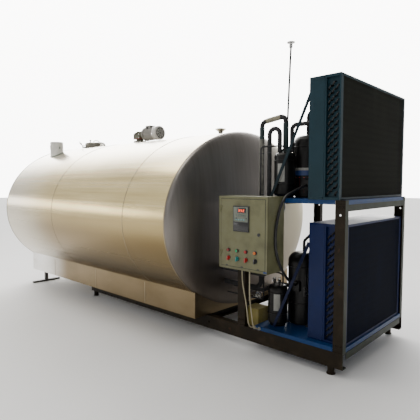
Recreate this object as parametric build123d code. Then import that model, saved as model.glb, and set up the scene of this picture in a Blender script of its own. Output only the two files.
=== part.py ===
"""Bulk milk tank with its cooling rack, one STEP file per sub-part, in millimetres.

X runs along the tank from its rear head (-X) to the cooling rack (+X), Y across it, and Z up.
The origin is on the floor, under the middle of the whole machine, on the tank's centre plane.
"""

import os
from math import cos, degrees, radians, sin, sqrt, tan

from build123d import *

# --- Tank ---
TANK_A = 1134.0  # half width of the elliptical section
TANK_B = 890.0  # half height of the elliptical section
AXIS_Z = 1078.0  # height of the tank's axis
REAR_X, FRONT_X = -2303.0, 1052.0  # ends of the straight shell
DOME = 142.0  # depth of each dished head
SEAMS = (-2080.0, -987.0, -30.0, 443.0)  # seams between the cladding sheets
SKIN = 2.0
FOAM = 54.0
WALL = 3.0
GLUE = 8.0  # between the cladding and the foam
GAP = 1.0  # between the other nested walls
PLATE = 6.0  # thickness of the evaporator plate
SKIRT_Y, SKIRT_LOW, SKIRT_TOP = 780.0, 185.3, 430.0
SKIRT_FRONT_X = 1073.0

# --- Fittings on top of the tank ---
MANHOLE_X = -1860.0
NECK_R = 120.0
NECK_TOP = 2008.0
LID_R = 131.0
HINGE_Y, HINGE_Z = 185.0, 1995.0
PIN_R = 8.0
CLAMP_Y, CLAMP_Z, CLAMP_LEAN = -185.0, 1975.0, 40.0
AGITATOR_X = -740.0
PAD_TOP = 1988.0
MOTOR_Z = 2079.0
MOTOR_R = 84.0
VENT_X = 694.0
INLET_X, INLET_Y = -1938.0, -560.0
OUTLET_Z = 285.0
OUTLET_R = 26.0

# --- Base frame and rack ---
RACK_Y = 621.0  # outer faces of the beams and posts
BEAM_LEFT, RACK_RIGHT = -975.0, 2445.0
BEAM_LOW, BEAM_TOP = 66.0, 185.0
FOOT_X = (-930.0, 2335.0)
REAR_LEG_X, REAR_LEG_Y = -2180.0, 646.0
POST_W, POST_D, STEEL = 80.0, 50.0, 6.0
NEAR_POSTS, FAR_POSTS = (1453.0, 2365.0), (1527.0, 2365.0)
TRAY_LEFT, TRAY_RIGHT = 1645.0, 2444.0
UPPER_SHELF, LOWER_SHELF = 1320.0, 221.0  # tops of the two trays
LIP = 33.0

# --- Control cabinet ---
CAB_X0, CAB_X1 = 1433.0, 1928.0
CAB_FRONT, CAB_BACK = -846.0, -623.3
CAB_Z0, CAB_Z1 = 737.0, 1337.0
DOOR_X0, DOOR_X1, DOOR_Z0, DOOR_Z1 = 1457.0, 1904.0, 760.0, 1314.0
DOOR_FRONT = -848.0
SWITCH_X = (1541.0, 1632.0, 1723.0, 1814.0)
LAMP_Z, KNOB_Z = 894.0, 829.0
LOCK_X, LOCK_Z = 1847.0, 1040.0
BUTTON_X, BUTTON_Z = (1629.0, 1729.0), 1161.0

# --- Cooling units: casing's back X, coil's back X, face X, near Y, far Y, bottom Z, top Z ---
LOWER = (2124.0, 2254.0, 2430.0, -565.0, 565.0, LOWER_SHELF + 0.3, 1137.0)
UPPER = (2158.0, 2284.0, 2408.0, -650.0, 650.0, UPPER_SHELF + 0.3, 2226.0)
FAN_R = 215.0
LOWER_COMPRESSOR = (1897.0, -250.0, 135.0, LOWER_SHELF, 845.0)
UPPER_COMPRESSOR = (1917.0, -250.0, 125.0, UPPER_SHELF, 1850.0)
LOWER_RECEIVER = (1768.0, -460.0, 84.0, LOWER_SHELF, 572.0)
UPPER_RECEIVER = (1822.0, -455.0, 88.0, UPPER_SHELF, 1702.0)


# ---------- helpers ----------
def block(x0, x1, y0, y1, z0, z1):
    """A box between two corners."""
    return Pos((x0 + x1) / 2, (y0 + y1) / 2, (z0 + z1) / 2) * Box(x1 - x0, y1 - y0, z1 - z0)


def rod(radius, start, end):
    """A round bar between two points."""
    along = Vector(*end) - Vector(*start)
    bar = Cylinder(radius, along.length, align=(Align.CENTER, Align.CENTER, Align.MIN))
    return Plane(origin=start, z_dir=along) * bar


def pipe(radius, bore, start, end):
    """A straight tube between two points."""
    return rod(radius, start, end) - rod(bore, start, end)


def disc(radius, x, y, z0, z1):
    """An upright cylinder."""
    return rod(radius, (x, y, z0), (x, y, z1))


def bar(width, depth, start, end):
    """A straight flat bar between two points, its wide side facing along Y."""
    along = Vector(*end) - Vector(*start)
    side = Vector(0, 1, 0).cross(along).normalized()
    stock = Box(width, depth, along.length, align=(Align.CENTER, Align.CENTER, Align.MIN))
    return Plane(origin=start, x_dir=side, z_dir=along) * stock


def prism(inset, x0, x1):
    """The tank's elliptical section, inset all round, extruded along X."""
    section = Plane(origin=(x0, 0, AXIS_Z), x_dir=(0, 1, 0), z_dir=(1, 0, 0))
    return extrude(section * Ellipse(TANK_A - inset, TANK_B - inset), x1 - x0)


def dome(inset, x, way):
    """A half ellipsoid that bulges from the plane at x towards way (+1 or -1)."""
    half = Sphere(1) & Pos(way, 0, 0) * Box(2, 2, 2)
    grown = scale(half, by=(DOME - inset, TANK_A - inset, TANK_B - inset))
    return Pos(x, 0, AXIS_Z) * grown


def shell_z(y, inset=0.0):
    """Height of the upper shell at a distance from the centre plane."""
    return AXIS_Z + (TANK_B - inset) * sqrt(1 - (y / (TANK_A - inset)) ** 2)


def tube(radius, points, bends):
    """A round bar swept along straight runs joined by tangent arcs."""
    path = FilletPolyline(*points, radius=bends)
    start = Plane(origin=path @ 0, z_dir=path % 0)
    swept = sweep(start * Circle(radius), path=path)
    share = swept.volume / (path.length * 3.14159265 * radius**2)
    if abs(share - 1) > 0.01:
        print("swept volume is off by", round(share, 4))
    return swept


def cord(radius, points, name):
    """A free cord: every arc is as large as its two runs allow."""
    nodes = [Vector(*p) for p in points]
    radii = []
    for before, here, after in zip(nodes, nodes[1:], nodes[2:]):
        run_in, run_out = here - before, after - here
        turn = radians(run_in.get_angle(run_out))
        shorter = min(run_in.length, run_out.length)
        radii.append(0.45 * shorter / tan(turn / 2))
    print(name, "radii", [round(r) for r in radii])
    made = tube(radius, points, radii)
    print(name, "length", round(made.volume / (3.14159265 * radius**2)))
    return made


# ---------- tank ----------
def well(radius, x, y):
    """An upright hole through the tank's top, its seam turned away from the crown line."""
    place = Plane(origin=(x, y, 1900), x_dir=(1, 1, 0), z_dir=(0, 0, 1))
    return place * Cylinder(radius, 500)


def wall_openings(extra):
    """What passes through the tank's wall: neck, agitator, vent, inlet and outlet."""
    return [
        well(NECK_R + extra, MANHOLE_X, 0),
        well(60 + extra, AGITATOR_X, 0),
        well(19 + extra, VENT_X, 0),
        well(38 + extra, INLET_X, INLET_Y),
        rod(OUTLET_R + extra, (900, 0, OUTLET_Z), (1300, 0, OUTLET_Z)),
    ]


def opened(shape):
    """A wall with the tank's openings cut through it."""
    for hole in wall_openings(0.3):
        shape = shape - hole
    return shape


FOAM_OUT = SKIN + GLUE  # inset of the foam's outer face
FOAM_IN = FOAM_OUT + FOAM  # inset of its inner face
VESSEL_OUT = FOAM_IN + GAP
VESSEL_IN = VESSEL_OUT + WALL


def ring(outer, inner, x0, x1):
    return prism(outer, x0, x1) - prism(inner, x0 - 1, x1 + 1)


def head(outer, inner, x, way):
    return dome(outer, x, way) - dome(inner, x, way)


def inner_vessel():
    barrel = ring(VESSEL_OUT, VESSEL_IN, REAR_X, FRONT_X)
    ends = [head(VESSEL_OUT, VESSEL_IN, FRONT_X, 1), head(VESSEL_OUT, VESSEL_IN, REAR_X, -1)]
    return [opened(barrel)] + [opened(e) for e in ends]


def cooled_zone(low_x, high_x, top):
    return block(low_x, high_x, -1300, 1300, 0, top)


def evaporator_plate():
    zone = cooled_zone(REAR_X + 200, FRONT_X - 150, AXIS_Z - 350)
    outer = FOAM_IN - PLATE
    return ring(outer, FOAM_IN, REAR_X + 200, FRONT_X - 150) & zone


def insulation():
    barrel = ring(FOAM_OUT, FOAM_IN, REAR_X, FRONT_X)
    x0, x1 = REAR_X + 199, FRONT_X - 149
    pocket = ring(FOAM_IN - PLATE - GAP, FOAM_IN + 1, x0, x1) & cooled_zone(x0, x1, AXIS_Z - 349)
    ends = [head(FOAM_OUT, FOAM_IN, FRONT_X, 1), head(FOAM_OUT, FOAM_IN, REAR_X, -1)]
    return manhole_panels(opened(barrel - pocket)) + [opened(e) for e in ends]


def manhole_panels(barrel):
    """The foam barrel in moulded panels, eight of them wedges round the manhole."""
    reach, low = 150.0, 1750.0
    x0, x1 = MANHOLE_X - reach, MANHOLE_X + reach
    front = x1 + 200
    cap = block(REAR_X - 1, front, -1300, 1300, low, 2100)
    top = barrel & cap
    zones = [
        block(REAR_X - 1, x0, -1300, 1300, low, 2100),
        block(x1, front, -1300, 1300, low, 2100),
        block(x0, x1, -1300, -reach, low, 2100),
        block(x0, x1, reach, 1300, low, 2100),
    ]
    square = block(x0, x1, -reach, reach, low, 2100)
    for k in range(8):
        turns = (radians(45 * k), radians(45 * k + 45))
        corners = [(MANHOLE_X + 400 * cos(t), 400 * sin(t)) for t in turns]
        outline = Polyline((MANHOLE_X, 0), *corners, (MANHOLE_X, 0))
        zones.append(square & Pos(0, 0, low - 1) * extrude(make_face(outline), 400))
    return [barrel - cap, *[top & zone for zone in zones]]


def shell_cladding():
    edges = (REAR_X, *SEAMS, FRONT_X)
    return [opened(ring(0, SKIN, x0, x1)) for x0, x1 in zip(edges, edges[1:])]


def outer_heads():
    return [opened(head(0, SKIN, FRONT_X, 1)), head(0, SKIN, REAR_X, -1)]


def skirt_panels():
    sides = [
        block(REAR_X, SKIRT_FRONT_X, y - 1, y + 1, SKIRT_LOW, SKIRT_TOP)
        for y in (-SKIRT_Y + 1, SKIRT_Y - 1)
    ]
    inner = SKIRT_Y - SKIN
    front = block(SKIRT_FRONT_X - SKIN, SKIRT_FRONT_X, -inner, inner, SKIRT_LOW, SKIRT_TOP)
    rear = block(REAR_X, REAR_X + SKIN, -inner, inner, SKIRT_LOW, SKIRT_TOP)
    front = (front - dome(-0.5, FRONT_X, 1)).solids().sort_by(Axis.Z)[0]
    rear = (rear - prism(-0.5, REAR_X - 5, REAR_X + 5)).solids().sort_by(Axis.Z)[0]
    return [*sides, front, rear]


def saddles():
    plates = []
    for x in (REAR_LEG_X, -880.0, -300.0, 380.0, 980.0):
        for way in (-1, 1):
            y0, y1 = sorted((way * 400.0, way * 720.0))
            plate = block(x - 5, x + 5, y0, y1, BEAM_TOP + 0.2, 420)
            plates.append(plate - prism(-0.4, x - 10, x + 10))
    return plates


# ---------- base frame and rack ----------
def channel(x0, x1, way):
    """A beam of channel section along X, its web on the outside of the frame."""
    face, tip = way * RACK_Y, way * (RACK_Y - 60)
    y0, y1 = sorted((face, tip))
    web_y = sorted((face - way * STEEL, tip))
    stock = block(x0, x1, y0, y1, BEAM_LOW, BEAM_TOP)
    return stock - block(x0 - 1, x1 + 1, *web_y, BEAM_LOW + 8, BEAM_TOP - 8)


def base_frame():
    beams = [channel(BEAM_LEFT, RACK_RIGHT, way) for way in (-1, 1)]
    inner = RACK_Y - 60
    members = []
    for x in (BEAM_LEFT, -300.0, 380.0, 980.0, 1560.0):
        stock = block(x, x + 60, -inner, inner, 100, BEAM_TOP)
        members.append(stock - block(x + 6, x + 61, -inner - 1, inner + 1, 106, BEAM_TOP - 6))
    end = block(RACK_RIGHT - 60, RACK_RIGHT, -inner, inner, 132, 184)
    members.append(end - block(RACK_RIGHT - 61, RACK_RIGHT - 6, -inner - 1, inner + 1, 131, 178))
    return [*beams, *members]


def support_feet():
    feet = []
    for x in FOOT_X:
        for way in (-1, 1):
            y = way * (RACK_Y - 40)
            feet.append(disc(27, x, y, 0, BEAM_LOW) - disc(23, x, y, 6, BEAM_LOW + 1))
    return feet


def rear_legs():
    legs = []
    for way in (-1, 1):
        y = way * REAR_LEG_Y
        legs.append(block(REAR_LEG_X - 20, REAR_LEG_X + 20, y - 20, y + 20, 25, BEAM_TOP))
        legs.append(block(REAR_LEG_X - 20, REAR_LEG_X + 20, y - 200, y + 200, 0, 25))
    return legs


def post(x, way):
    """A rack post of channel section, its web on the outside and its flanges turned inwards."""
    y0, y1 = sorted((way * RACK_Y, way * (RACK_Y - POST_D)))
    hollow = sorted((way * (RACK_Y - STEEL), way * (RACK_Y - POST_D - 1)))
    stock = block(x, x + POST_W, y0, y1, BEAM_TOP, UPPER_SHELF)
    stock = stock - block(x + STEEL, x + POST_W - STEEL, *hollow, BEAM_TOP - 1, UPPER_SHELF + 1)
    for z in (700.0, 1210.0):
        middle = x + POST_W / 2
        stock = stock - rod(8, (middle, y0 - 1, z), (middle, y1 + 1, z))
    return stock


def rack_frame():
    posts = [post(x, -1) for x in NEAR_POSTS] + [post(x, 1) for x in FAR_POSTS]
    inner = RACK_Y - POST_D
    z0, z1 = 1238.0, UPPER_SHELF - LIP
    right = block(RACK_RIGHT - 50, RACK_RIGHT, -inner, inner, z0, z1)
    right = right - block(RACK_RIGHT - 51, RACK_RIGHT - 6, -inner - 1, inner + 1, z0 - 1, z1 - 6)
    left = block(1500, 1550, -inner, inner, z0, z1)
    left = left - block(1506, 1551, -inner - 1, inner + 1, z0 - 1, z1 - 6)
    return [*posts, right, left]


def tray(top):
    """A sheet tray with its four lips turned down, notched round the posts."""
    low = top - LIP
    half = RACK_Y + 2
    x0 = TRAY_LEFT
    stock = block(x0, TRAY_RIGHT, -half, half, low, top)
    stock = stock - block(x0 + 3, TRAY_RIGHT - 3, -half + 3, half - 3, low - 1, top - 3)
    for way in (-1, 1):
        y0, y1 = sorted((way * (RACK_Y - POST_D - 1), way * (half + 1)))
        right_post = NEAR_POSTS[1] if way < 0 else FAR_POSTS[1]
        stock = stock - block(right_post - 1, TRAY_RIGHT + 2, y0, y1, low - 2, top + 1)
    return stock


def upper_tray():
    made = tray(UPPER_SHELF)
    made = made - disc(25, 1690, -490, 1200, 1400)
    return made - disc(14, 1735, -325, 1200, 1400)


def lower_tray():
    low_beam = block(0, 3000, -RACK_Y - 0.3, RACK_Y + 0.3, 0, BEAM_TOP + 0.3)
    made = tray(LOWER_SHELF) - low_beam
    return made - block(RACK_RIGHT - 62, 3000, -600, 600, 0, BEAM_TOP + 0.3)


# ---------- manhole ----------
def manhole_neck():
    x = MANHOLE_X
    neck = disc(NECK_R, x, 0, shell_z(0, VESSEL_IN) - 8, NECK_TOP)
    neck = neck + disc(NECK_R + 7, x, 0, NECK_TOP - 6, NECK_TOP)
    neck = neck - disc(NECK_R - 3, x, 0, 1800, 2100)
    for way in (-1, 1):
        ear = block(x + way * 24 - 3, x + way * 24 + 3, NECK_R - 2, HINGE_Y + 6, 1967, 1987)
        ear = ear + rod(12, (x + way * 24 - 3, HINGE_Y, HINGE_Z), (x + way * 24 + 3, HINGE_Y, HINGE_Z))
        lug = block(x + way * 15 - 3, x + way * 15 + 3, CLAMP_Y - 12, -NECK_R + 2, 1964.5, 1985)
        neck = neck + ear + lug
    neck = neck - rod(PIN_R - 0.05, (x - 40, HINGE_Y, HINGE_Z), (x + 40, HINGE_Y, HINGE_Z))
    neck = neck - disc(NECK_R - 3, x, 0, 1800, 2100)
    pin = rod(PIN_R - 0.1, (x - 32, HINGE_Y, HINGE_Z), (x + 32, HINGE_Y, HINGE_Z))
    return [neck, pin]


def manhole_lid():
    x = MANHOLE_X
    section = Plane(origin=(x, 0, 0), x_dir=(1, 0, 0), z_dir=(0, -1, 0))
    edge = LID_R
    with BuildLine(section) as outline:
        ThreePointArc((0, 2057), (58, 2054), (edge - 18, 2046))
        ThreePointArc((edge - 18, 2046), (edge - 6, 2042), (edge, 2032))
        Polyline((edge, 2032), (edge, 1990), (edge - 2, 1990), (edge - 2, 2031))
        ThreePointArc((edge - 2, 2031), (edge - 7, 2040), (edge - 19, 2044))
        ThreePointArc((edge - 19, 2044), (58, 2052), (0, 2055))
        Line((0, 2055), (0, 2057))
    cover = revolve(make_face(outline.line), Axis((x, 0, 0), (0, 0, 1)))
    cover = cover + (disc(edge - 1, x, 0, 2018.4, 2021) - disc(edge - 18, x, 0, 2010, 2030))
    arm = Plane(origin=(x - 15, 0, 0), x_dir=(0, 1, 0), z_dir=(1, 0, 0))
    side = Polyline(
        (30, 2054), (30, 2062), (110, 2068), (163, 2060), (193, 2004), (181, 1998),
        (151, 2048), (110, 2056), (30, 2054),
    )
    cover = cover + extrude(arm * make_face(side), 30)
    cover = cover + rod(13, (x - 19, HINGE_Y, HINGE_Z), (x + 19, HINGE_Y, HINGE_Z))
    cover = cover - rod(PIN_R, (x - 40, HINGE_Y, HINGE_Z), (x + 40, HINGE_Y, HINGE_Z))
    tab = block(x - 15, x + 15, CLAMP_Y - 12, -edge + 1, 2000, 2006)
    tab = tab - block(x - 6.5, x + 6.5, CLAMP_Y - 13, CLAMP_Y + 8, 1990, 2020)
    return cover + tab


def lid_gasket():
    x = MANHOLE_X
    return disc(LID_R - 2.5, x, 0, NECK_TOP + 0.3, 2018.4) - disc(LID_R - 15, x, 0, 2000, 2030)


def lid_swing_bolt():
    """The clamp's swing bolt with its wing nut, leaning outwards from its pivot."""
    x = MANHOLE_X
    eye = rod(10, (x - 11, 0, 0), (x + 11, 0, 0))
    made = eye + disc(5, x, 0, 0, 100) + disc(11, x, 0, 46, 62)
    for way in (-1, 1):
        made = made + Pos(x + way * 17, 0, 66) * Rot(0, way * 35, 0) * Box(24, 5, 16)
    lean = Pos(0, CLAMP_Y, CLAMP_Z) * Rot(CLAMP_LEAN, 0, 0)
    return lean * (made - rod(5.6, (x - 20, 0, 0), (x + 20, 0, 0)))


# ---------- nozzles, caps and outlet ----------
def tank_nozzles():
    low = shell_z(0, VESSEL_IN) - 6
    boss = disc(60, AGITATOR_X, 0, low, PAD_TOP - 12) - disc(56, AGITATOR_X, 0, low - 1, PAD_TOP)
    pad = disc(85, AGITATOR_X, 0, PAD_TOP - 12, PAD_TOP) - disc(20, AGITATOR_X, 0, 1900, 2000)
    vent = disc(19, VENT_X, 0, low, 2012) - disc(16, VENT_X, 0, low - 1, 2013)
    inlet_low = shell_z(INLET_Y, VESSEL_IN) - 30
    inlet = disc(38, INLET_X, INLET_Y, inlet_low, 1975)
    inlet = inlet - disc(35, INLET_X, INLET_Y, inlet_low - 1, 1976)
    return [boss + pad, vent, inlet]


def vent_cap():
    section = Plane(origin=(VENT_X, 0, 0), x_dir=(1, 0, 0), z_dir=(0, -1, 0))
    with BuildLine(section) as outline:
        ThreePointArc((0, 2048), (34, 2045), (60, 2037))
        Polyline((60, 2037), (60, 2033), (26, 2006), (26, 1992), (0, 1992), (0, 2048))
    cap = revolve(make_face(outline.line), Axis((VENT_X, 0, 0), (0, 0, 1)))
    return cap - disc(19.6, VENT_X, 0, 1980, 2012.4)


def inlet_cup():
    """A plastic cup over the inlet stub, its lower edge cut to sit just above the shell."""
    cup = disc(88, INLET_X, INLET_Y, 1750, 2030)
    cup = fillet(cup.edges().group_by(Axis.Z)[-1], 14)
    cup = cup - disc(84.5, INLET_X, INLET_Y, 1740, 2026)
    cup = cup - prism(-1.5, INLET_X - 200, INLET_X + 200)
    grip = block(INLET_X - 8, INLET_X + 8, INLET_Y - 98, INLET_Y - 86, 1915, 1975)
    return (cup + grip).solids().sort_by(SortBy.VOLUME)[-1]


def outlet_valve():
    z = OUTLET_Z
    stub = pipe(OUTLET_R, OUTLET_R - 2, (1060, 0, z), (1190, 0, z))
    body = rod(OUTLET_R + 13, (1190, 0, z), (1214, 0, z)) + disc(10, 1202, 0, z, z + 50)
    spout = rod(OUTLET_R, (1214, 0, z), (1240, 0, z)) + rod(33, (1233, 0, z), (1240, 0, z))
    made = stub + body + spout
    made = made - rod(OUTLET_R - 2, (1150, 0, z), (1214, 0, z))
    made = made - rod(OUTLET_R - 1, (1214, 0, z), (1250, 0, z))
    return made - disc(4.4, 1202, 0, z - 30, z + 60)


def outlet_valve_lever():
    z = OUTLET_Z
    wafer = rod(23.5, (1200, 0, z), (1204, 0, z))
    stem = disc(4, 1202, 0, z - 28, z + 66)
    grip = block(1194, 1210, -128, 12, z + 58, z + 64)
    return wafer + stem + grip


# ---------- agitator ----------
def gearbox():
    x = AGITATOR_X
    housing = disc(80, x, 0, PAD_TOP, PAD_TOP + 12)
    housing = housing + disc(48, x, 0, PAD_TOP + 12, 2030)
    housing = housing + block(x - 65, x + 65, -58, 58, 2024, 2098)
    housing = housing + disc(72, x, 0, 2092, 2108) + disc(46, x, 0, 2108, 2123)
    housing = housing + rod(54, (x + 60, 0, MOTOR_Z), (x + 140, 0, MOTOR_Z))
    for corner in (45, 135, 225, 315):
        bx, by = x + 68 * cos(radians(corner)), 68 * sin(radians(corner))
        housing = housing + disc(7, bx, by, PAD_TOP + 12, PAD_TOP + 18)
    return housing - disc(17, x, 0, 1980, 2092)


def agitator_motor():
    x0, x1 = AGITATOR_X + 140, AGITATOR_X + 330
    case = rod(88, (x0, 0, MOTOR_Z), (x0 + 12, 0, MOTOR_Z))
    case = case + rod(MOTOR_R - 6, (x0 + 12, 0, MOTOR_Z), (x1 + 16, 0, MOTOR_Z))
    for k in range(24):
        fin = block(x0 + 20, x1, -1.8, 1.8, MOTOR_R - 10, MOTOR_R)
        case = case + Pos(0, 0, MOTOR_Z) * Rot(15 * k, 0, 0) * fin
    case = case - rod(10, (x1 - 30, 0, MOTOR_Z), (x1 + 20, 0, MOTOR_Z))
    box = block(x0 + 40, x0 + 130, -48, 48, MOTOR_Z + 60, 2177)
    box = box - rod(MOTOR_R + 0.3, (x0, 0, MOTOR_Z), (x1, 0, MOTOR_Z))
    box = fillet(box.edges().group_by(Axis.Z)[-1], 4)
    return [case, box]


def motor_fan_cover():
    x0, x1 = AGITATOR_X + 340, AGITATOR_X + 414
    cover = rod(88, (x0, 0, MOTOR_Z), (x1, 0, MOTOR_Z))
    cover = fillet(cover.edges().group_by(Axis.X)[-1], 10)
    cover = cover - rod(85.5, (x0 - 1, 0, MOTOR_Z), (x1 - 12, 0, MOTOR_Z))
    cover = cover - rod(74, (x0 - 1, 0, MOTOR_Z), (x1 - 3, 0, MOTOR_Z))
    for radius, count in ((24, 6), (42, 12), (60, 18)):
        for k in range(count):
            turn = radians(360 * k / count)
            y, z = radius * cos(turn), MOTOR_Z + radius * sin(turn)
            cover = cover - rod(6, (x1 - 5, y, z), (x1 + 2, y, z))
    return cover


def motor_fan():
    x0 = AGITATOR_X + 320
    made = rod(8.5, (x0, 0, MOTOR_Z), (x0 + 78, 0, MOTOR_Z))
    made = made + rod(22, (x0 + 40, 0, MOTOR_Z), (x0 + 76, 0, MOTOR_Z))
    for k in range(6):
        blade = block(x0 + 42, x0 + 74, -1.5, 1.5, 19, 70)
        made = made + Pos(0, 0, MOTOR_Z) * Rot(60 * k, 0, 0) * blade
    return made


def agitator_shaft():
    x = AGITATOR_X
    made = disc(16, x, 0, 400, 2090) + disc(30, x, 0, 400, 520)
    for k in range(3):
        blade = Pos(160, 0, 460) * Rot(40, 0, 0) * Box(280, 6, 110)
        made = made + Pos(x, 0, 0) * Rot(0, 0, 120 * k) * blade
    return made


# ---------- cooling units ----------
def condenser_core(unit):
    """The finned coil block between its two tube sheets."""
    _, x0, x1, y0, y1, z0, z1 = unit
    fins = block(x0 + 8, x1 - 2, y0 + 28, y1 - 28, z0 + 4, z1 - 4)
    sheets = [
        block(x0 + 4, x1 - 2, y, y + 3, z0 + 4, z1 - 4) for y in (y0 + 25, y1 - 28)
    ]
    return [fins, *sheets]


def condenser_casing(unit, strut_low, strut_high):
    """Sheet casing round the coil, open at the face, with two fan holes in its back and its stays."""
    back, coil, face, y0, y1, z0, z1 = unit
    made = block(back, face, y0, y1, z0, z1)
    made = made - block(back + 3, face + 1, y0 + 3, y1 - 3, z0 + 3, z1 - 3)
    for side in ((y0 - 1, y0 + 4), (y1 - 4, y1 + 1)):
        made = made - block(coil + 12, face - 12, *side, z0 + 16, z1 - 16)
    for y in fan_centres(unit):
        middle = (z0 + z1) / 2
        made = made - rod(FAN_R + 15, (back - 1, y, middle), (back + 4, y, middle))
    near = bar(25, 5, strut_low, strut_high)
    mirror = y0 + y1
    far_low = (strut_low[0], mirror - strut_low[1], strut_low[2])
    far_high = (strut_high[0], mirror - strut_high[1], strut_high[2])
    return [made, near, bar(25, 5, far_low, far_high)]


def fan_centres(unit):
    y0, y1 = unit[3], unit[4]
    return (y0 * 3 + y1) / 4, (y0 + y1 * 3) / 4


def condenser_fan(unit, y):
    x, z = unit[0] - 8, (unit[5] + unit[6]) / 2
    made = rod(42, (x, y, z), (x + 44, y, z)) + rod(6, (x - 26, y, z), (x + 2, y, z))
    for k in range(5):
        blade = Pos(22, 0, 128) * Rot(0, 0, 28) * Box(6, 96, 172)
        made = made + Pos(x, y, z) * Rot(72 * k, 0, 0) * blade
    return made


def fan_guard(unit, y):
    """A guard of rings and spokes that carries the fan's motor in its middle."""
    x, z = unit[0] - 56, (unit[5] + unit[6]) / 2
    made = rod(62, (x, y, z), (x + 4, y, z))
    for radius in (110, 160, 205, 238):
        made = made + pipe(radius, radius - 5, (x, y, z), (x + 4, y, z))
    for k in range(8):
        made = made + Pos(x + 2, y, z) * Rot(45 * k, 0, 0) * Pos(0, 0, 148) * Box(4, 6, 178)
    for k in range(4):
        leg = Rot(45 + 90 * k, 0, 0) * Pos(28, 0, 235.5) * Box(56, 8, 5)
        made = made + Pos(x, y, z) * leg
    made = made + rod(46, (x, y, z), (x + 34, y, z))
    return made - rod(6.6, (x + 15, y, z), (x + 60, y, z))


def fan_guards():
    return [fan_guard(unit, y) for unit in (LOWER, UPPER) for y in fan_centres(unit)]


def compressor(place, box_x, box_z):
    """A welded compressor on three feet, with its terminal box."""
    x, y, r, z0, z1 = place
    body = disc(r, x, y, z0 + 12, z1)
    body = fillet(body.edges().group_by(Axis.Z)[-1], r * 0.62)
    body = body + disc(r * 0.8, x, y, z0, z0 + 14)
    box = block(box_x - 32, box_x + 32, y - r - 28, y - r * 0.6, box_z - 40, box_z + 40)
    return body + box


def receiver(place):
    """An upright receiver with domed ends, on a foot ring, with two valves on top."""
    x, y, r, z0, z1 = place
    shell = disc(r, x, y, z0 + 18, z1)
    shell = fillet(shell.edges().group_by(Axis.Z)[-1], r * 0.5)
    shell = fillet(shell.edges().group_by(Axis.Z)[0], r * 0.2)
    return shell + (disc(r * 0.8, x, y, z0, z0 + 30) - disc(r * 0.7, x, y, z0 - 1, z0 + 20))


def receiver_valves(place, spots):
    x, y, _, _, z1 = place
    made = []
    for dx, dy in spots:
        valve = disc(9, x + dx, y + dy, z1 + 0.2, z1 + 22)
        made.append(valve + disc(14, x + dx, y + dy, z1 + 22, z1 + 44))
    return made


def receivers():
    return [
        receiver(LOWER_RECEIVER),
        receiver(UPPER_RECEIVER),
        *receiver_valves(LOWER_RECEIVER, ((-34, 0), (22, -8))),
    ]


def head_x(y, z):
    """Where the front head's surface is at a place on it."""
    return FRONT_X + DOME * sqrt(1 - (y / TANK_A) ** 2 - ((z - AXIS_Z) / TANK_B) ** 2)


def pipes_upper():
    top = UPPER_RECEIVER[4] + 0.3
    suction = tube(
        20,
        [
            (head_x(-440, 500) + 7, -440, 500),
            (1574, -440, 500),
            (1574, -440, 1975),
            (1812, -430, 2012),
            (1812, -430, top),
        ],
        [70, 45, 45],
    )
    hose = tube(
        19,
        [
            (head_x(-490, 640) + 7, -490, 640),
            (1690, -490, 640),
            (1690, -490, 1902),
            (1793, -490, 1902),
            (1793, -490, top),
        ],
        [70, 50, 50],
    )
    discharge = tube(
        18,
        [
            (1866, -420, top),
            (1866, -420, 1928),
            (2060, -420, 1928),
            (2060, -420, 2110),
            (UPPER[0] - 0.3, -420, 2110),
        ],
        [45, 45, 45],
    )
    liquid = tube(
        7,
        [(1850, -510, top), (1850, -510, 1752), (1650, -560, 1752), (1650, -560, 1330)],
        [28, 28],
    )
    link = tube(
        12,
        [(1917, -250, 1850.3), (1917, -250, 2060), (UPPER[0] - 0.3, -250, 2060)],
        [60],
    )
    return [suction, hose, discharge, liquid, link]


def pipes_lower():
    top = LOWER_RECEIVER[4] + 0.3
    discharge = tube(
        12,
        [(1897, -250, 845.3), (1897, -250, 940), (1960, -250, 1000), (LOWER[0] - 0.3, -250, 1000)],
        [40, 40],
    )
    suction = tube(
        18,
        [
            (head_x(-300, 440) + 7, -300, 440),
            (1500, -300, 440),
            (1620, -250, 520),
            (LOWER_COMPRESSOR[0] - LOWER_COMPRESSOR[2] - 0.3, -250, 520),
        ],
        [60, 60],
    )
    liquid = tube(
        7,
        [
            (LOWER_RECEIVER[0] + 30, LOWER_RECEIVER[1] + 34, top),
            (LOWER_RECEIVER[0] + 30, LOWER_RECEIVER[1] + 34, 660),
            (1560, -380, 660),
            (1560, -380, 380),
            (head_x(-380, 380) + 5, -380, 380),
        ],
        [28, 28, 28],
    )
    return [discharge, suction, liquid]


# ---------- control cabinet ----------
def cabinet_shell():
    made = block(CAB_X0, CAB_X1, CAB_FRONT, CAB_BACK, CAB_Z0, CAB_Z1)
    inner = block(CAB_X0 + 2, CAB_X1 - 2, CAB_FRONT + 2, CAB_BACK - 2, CAB_Z0 + 2, CAB_Z1 - 2)
    mouth = block(DOOR_X0 - 2, DOOR_X1 + 2, CAB_FRONT - 1, CAB_FRONT + 3, DOOR_Z0 - 2, DOOR_Z1 + 2)
    made = made - inner - mouth
    for x, y in GLANDS:
        made = made - disc(9, x, y, CAB_Z0 - 1, CAB_Z0 + 3)
    hinge_x, hinge_y = DOOR_X0 - 4, CAB_FRONT - 6
    for z in (840.0, 1210.0):
        knuckle = disc(5.5, hinge_x, hinge_y, z, z + 24)
        knuckle = knuckle + block(hinge_x - 14, hinge_x - 2, CAB_FRONT - 3, CAB_FRONT, z, z + 24)
        knuckle = knuckle + block(hinge_x - 5.5, hinge_x - 2, hinge_y, CAB_FRONT, z, z + 24)
        made = made + knuckle + disc(2.5, hinge_x, hinge_y, z + 20, z + 49)
    return made


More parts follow.
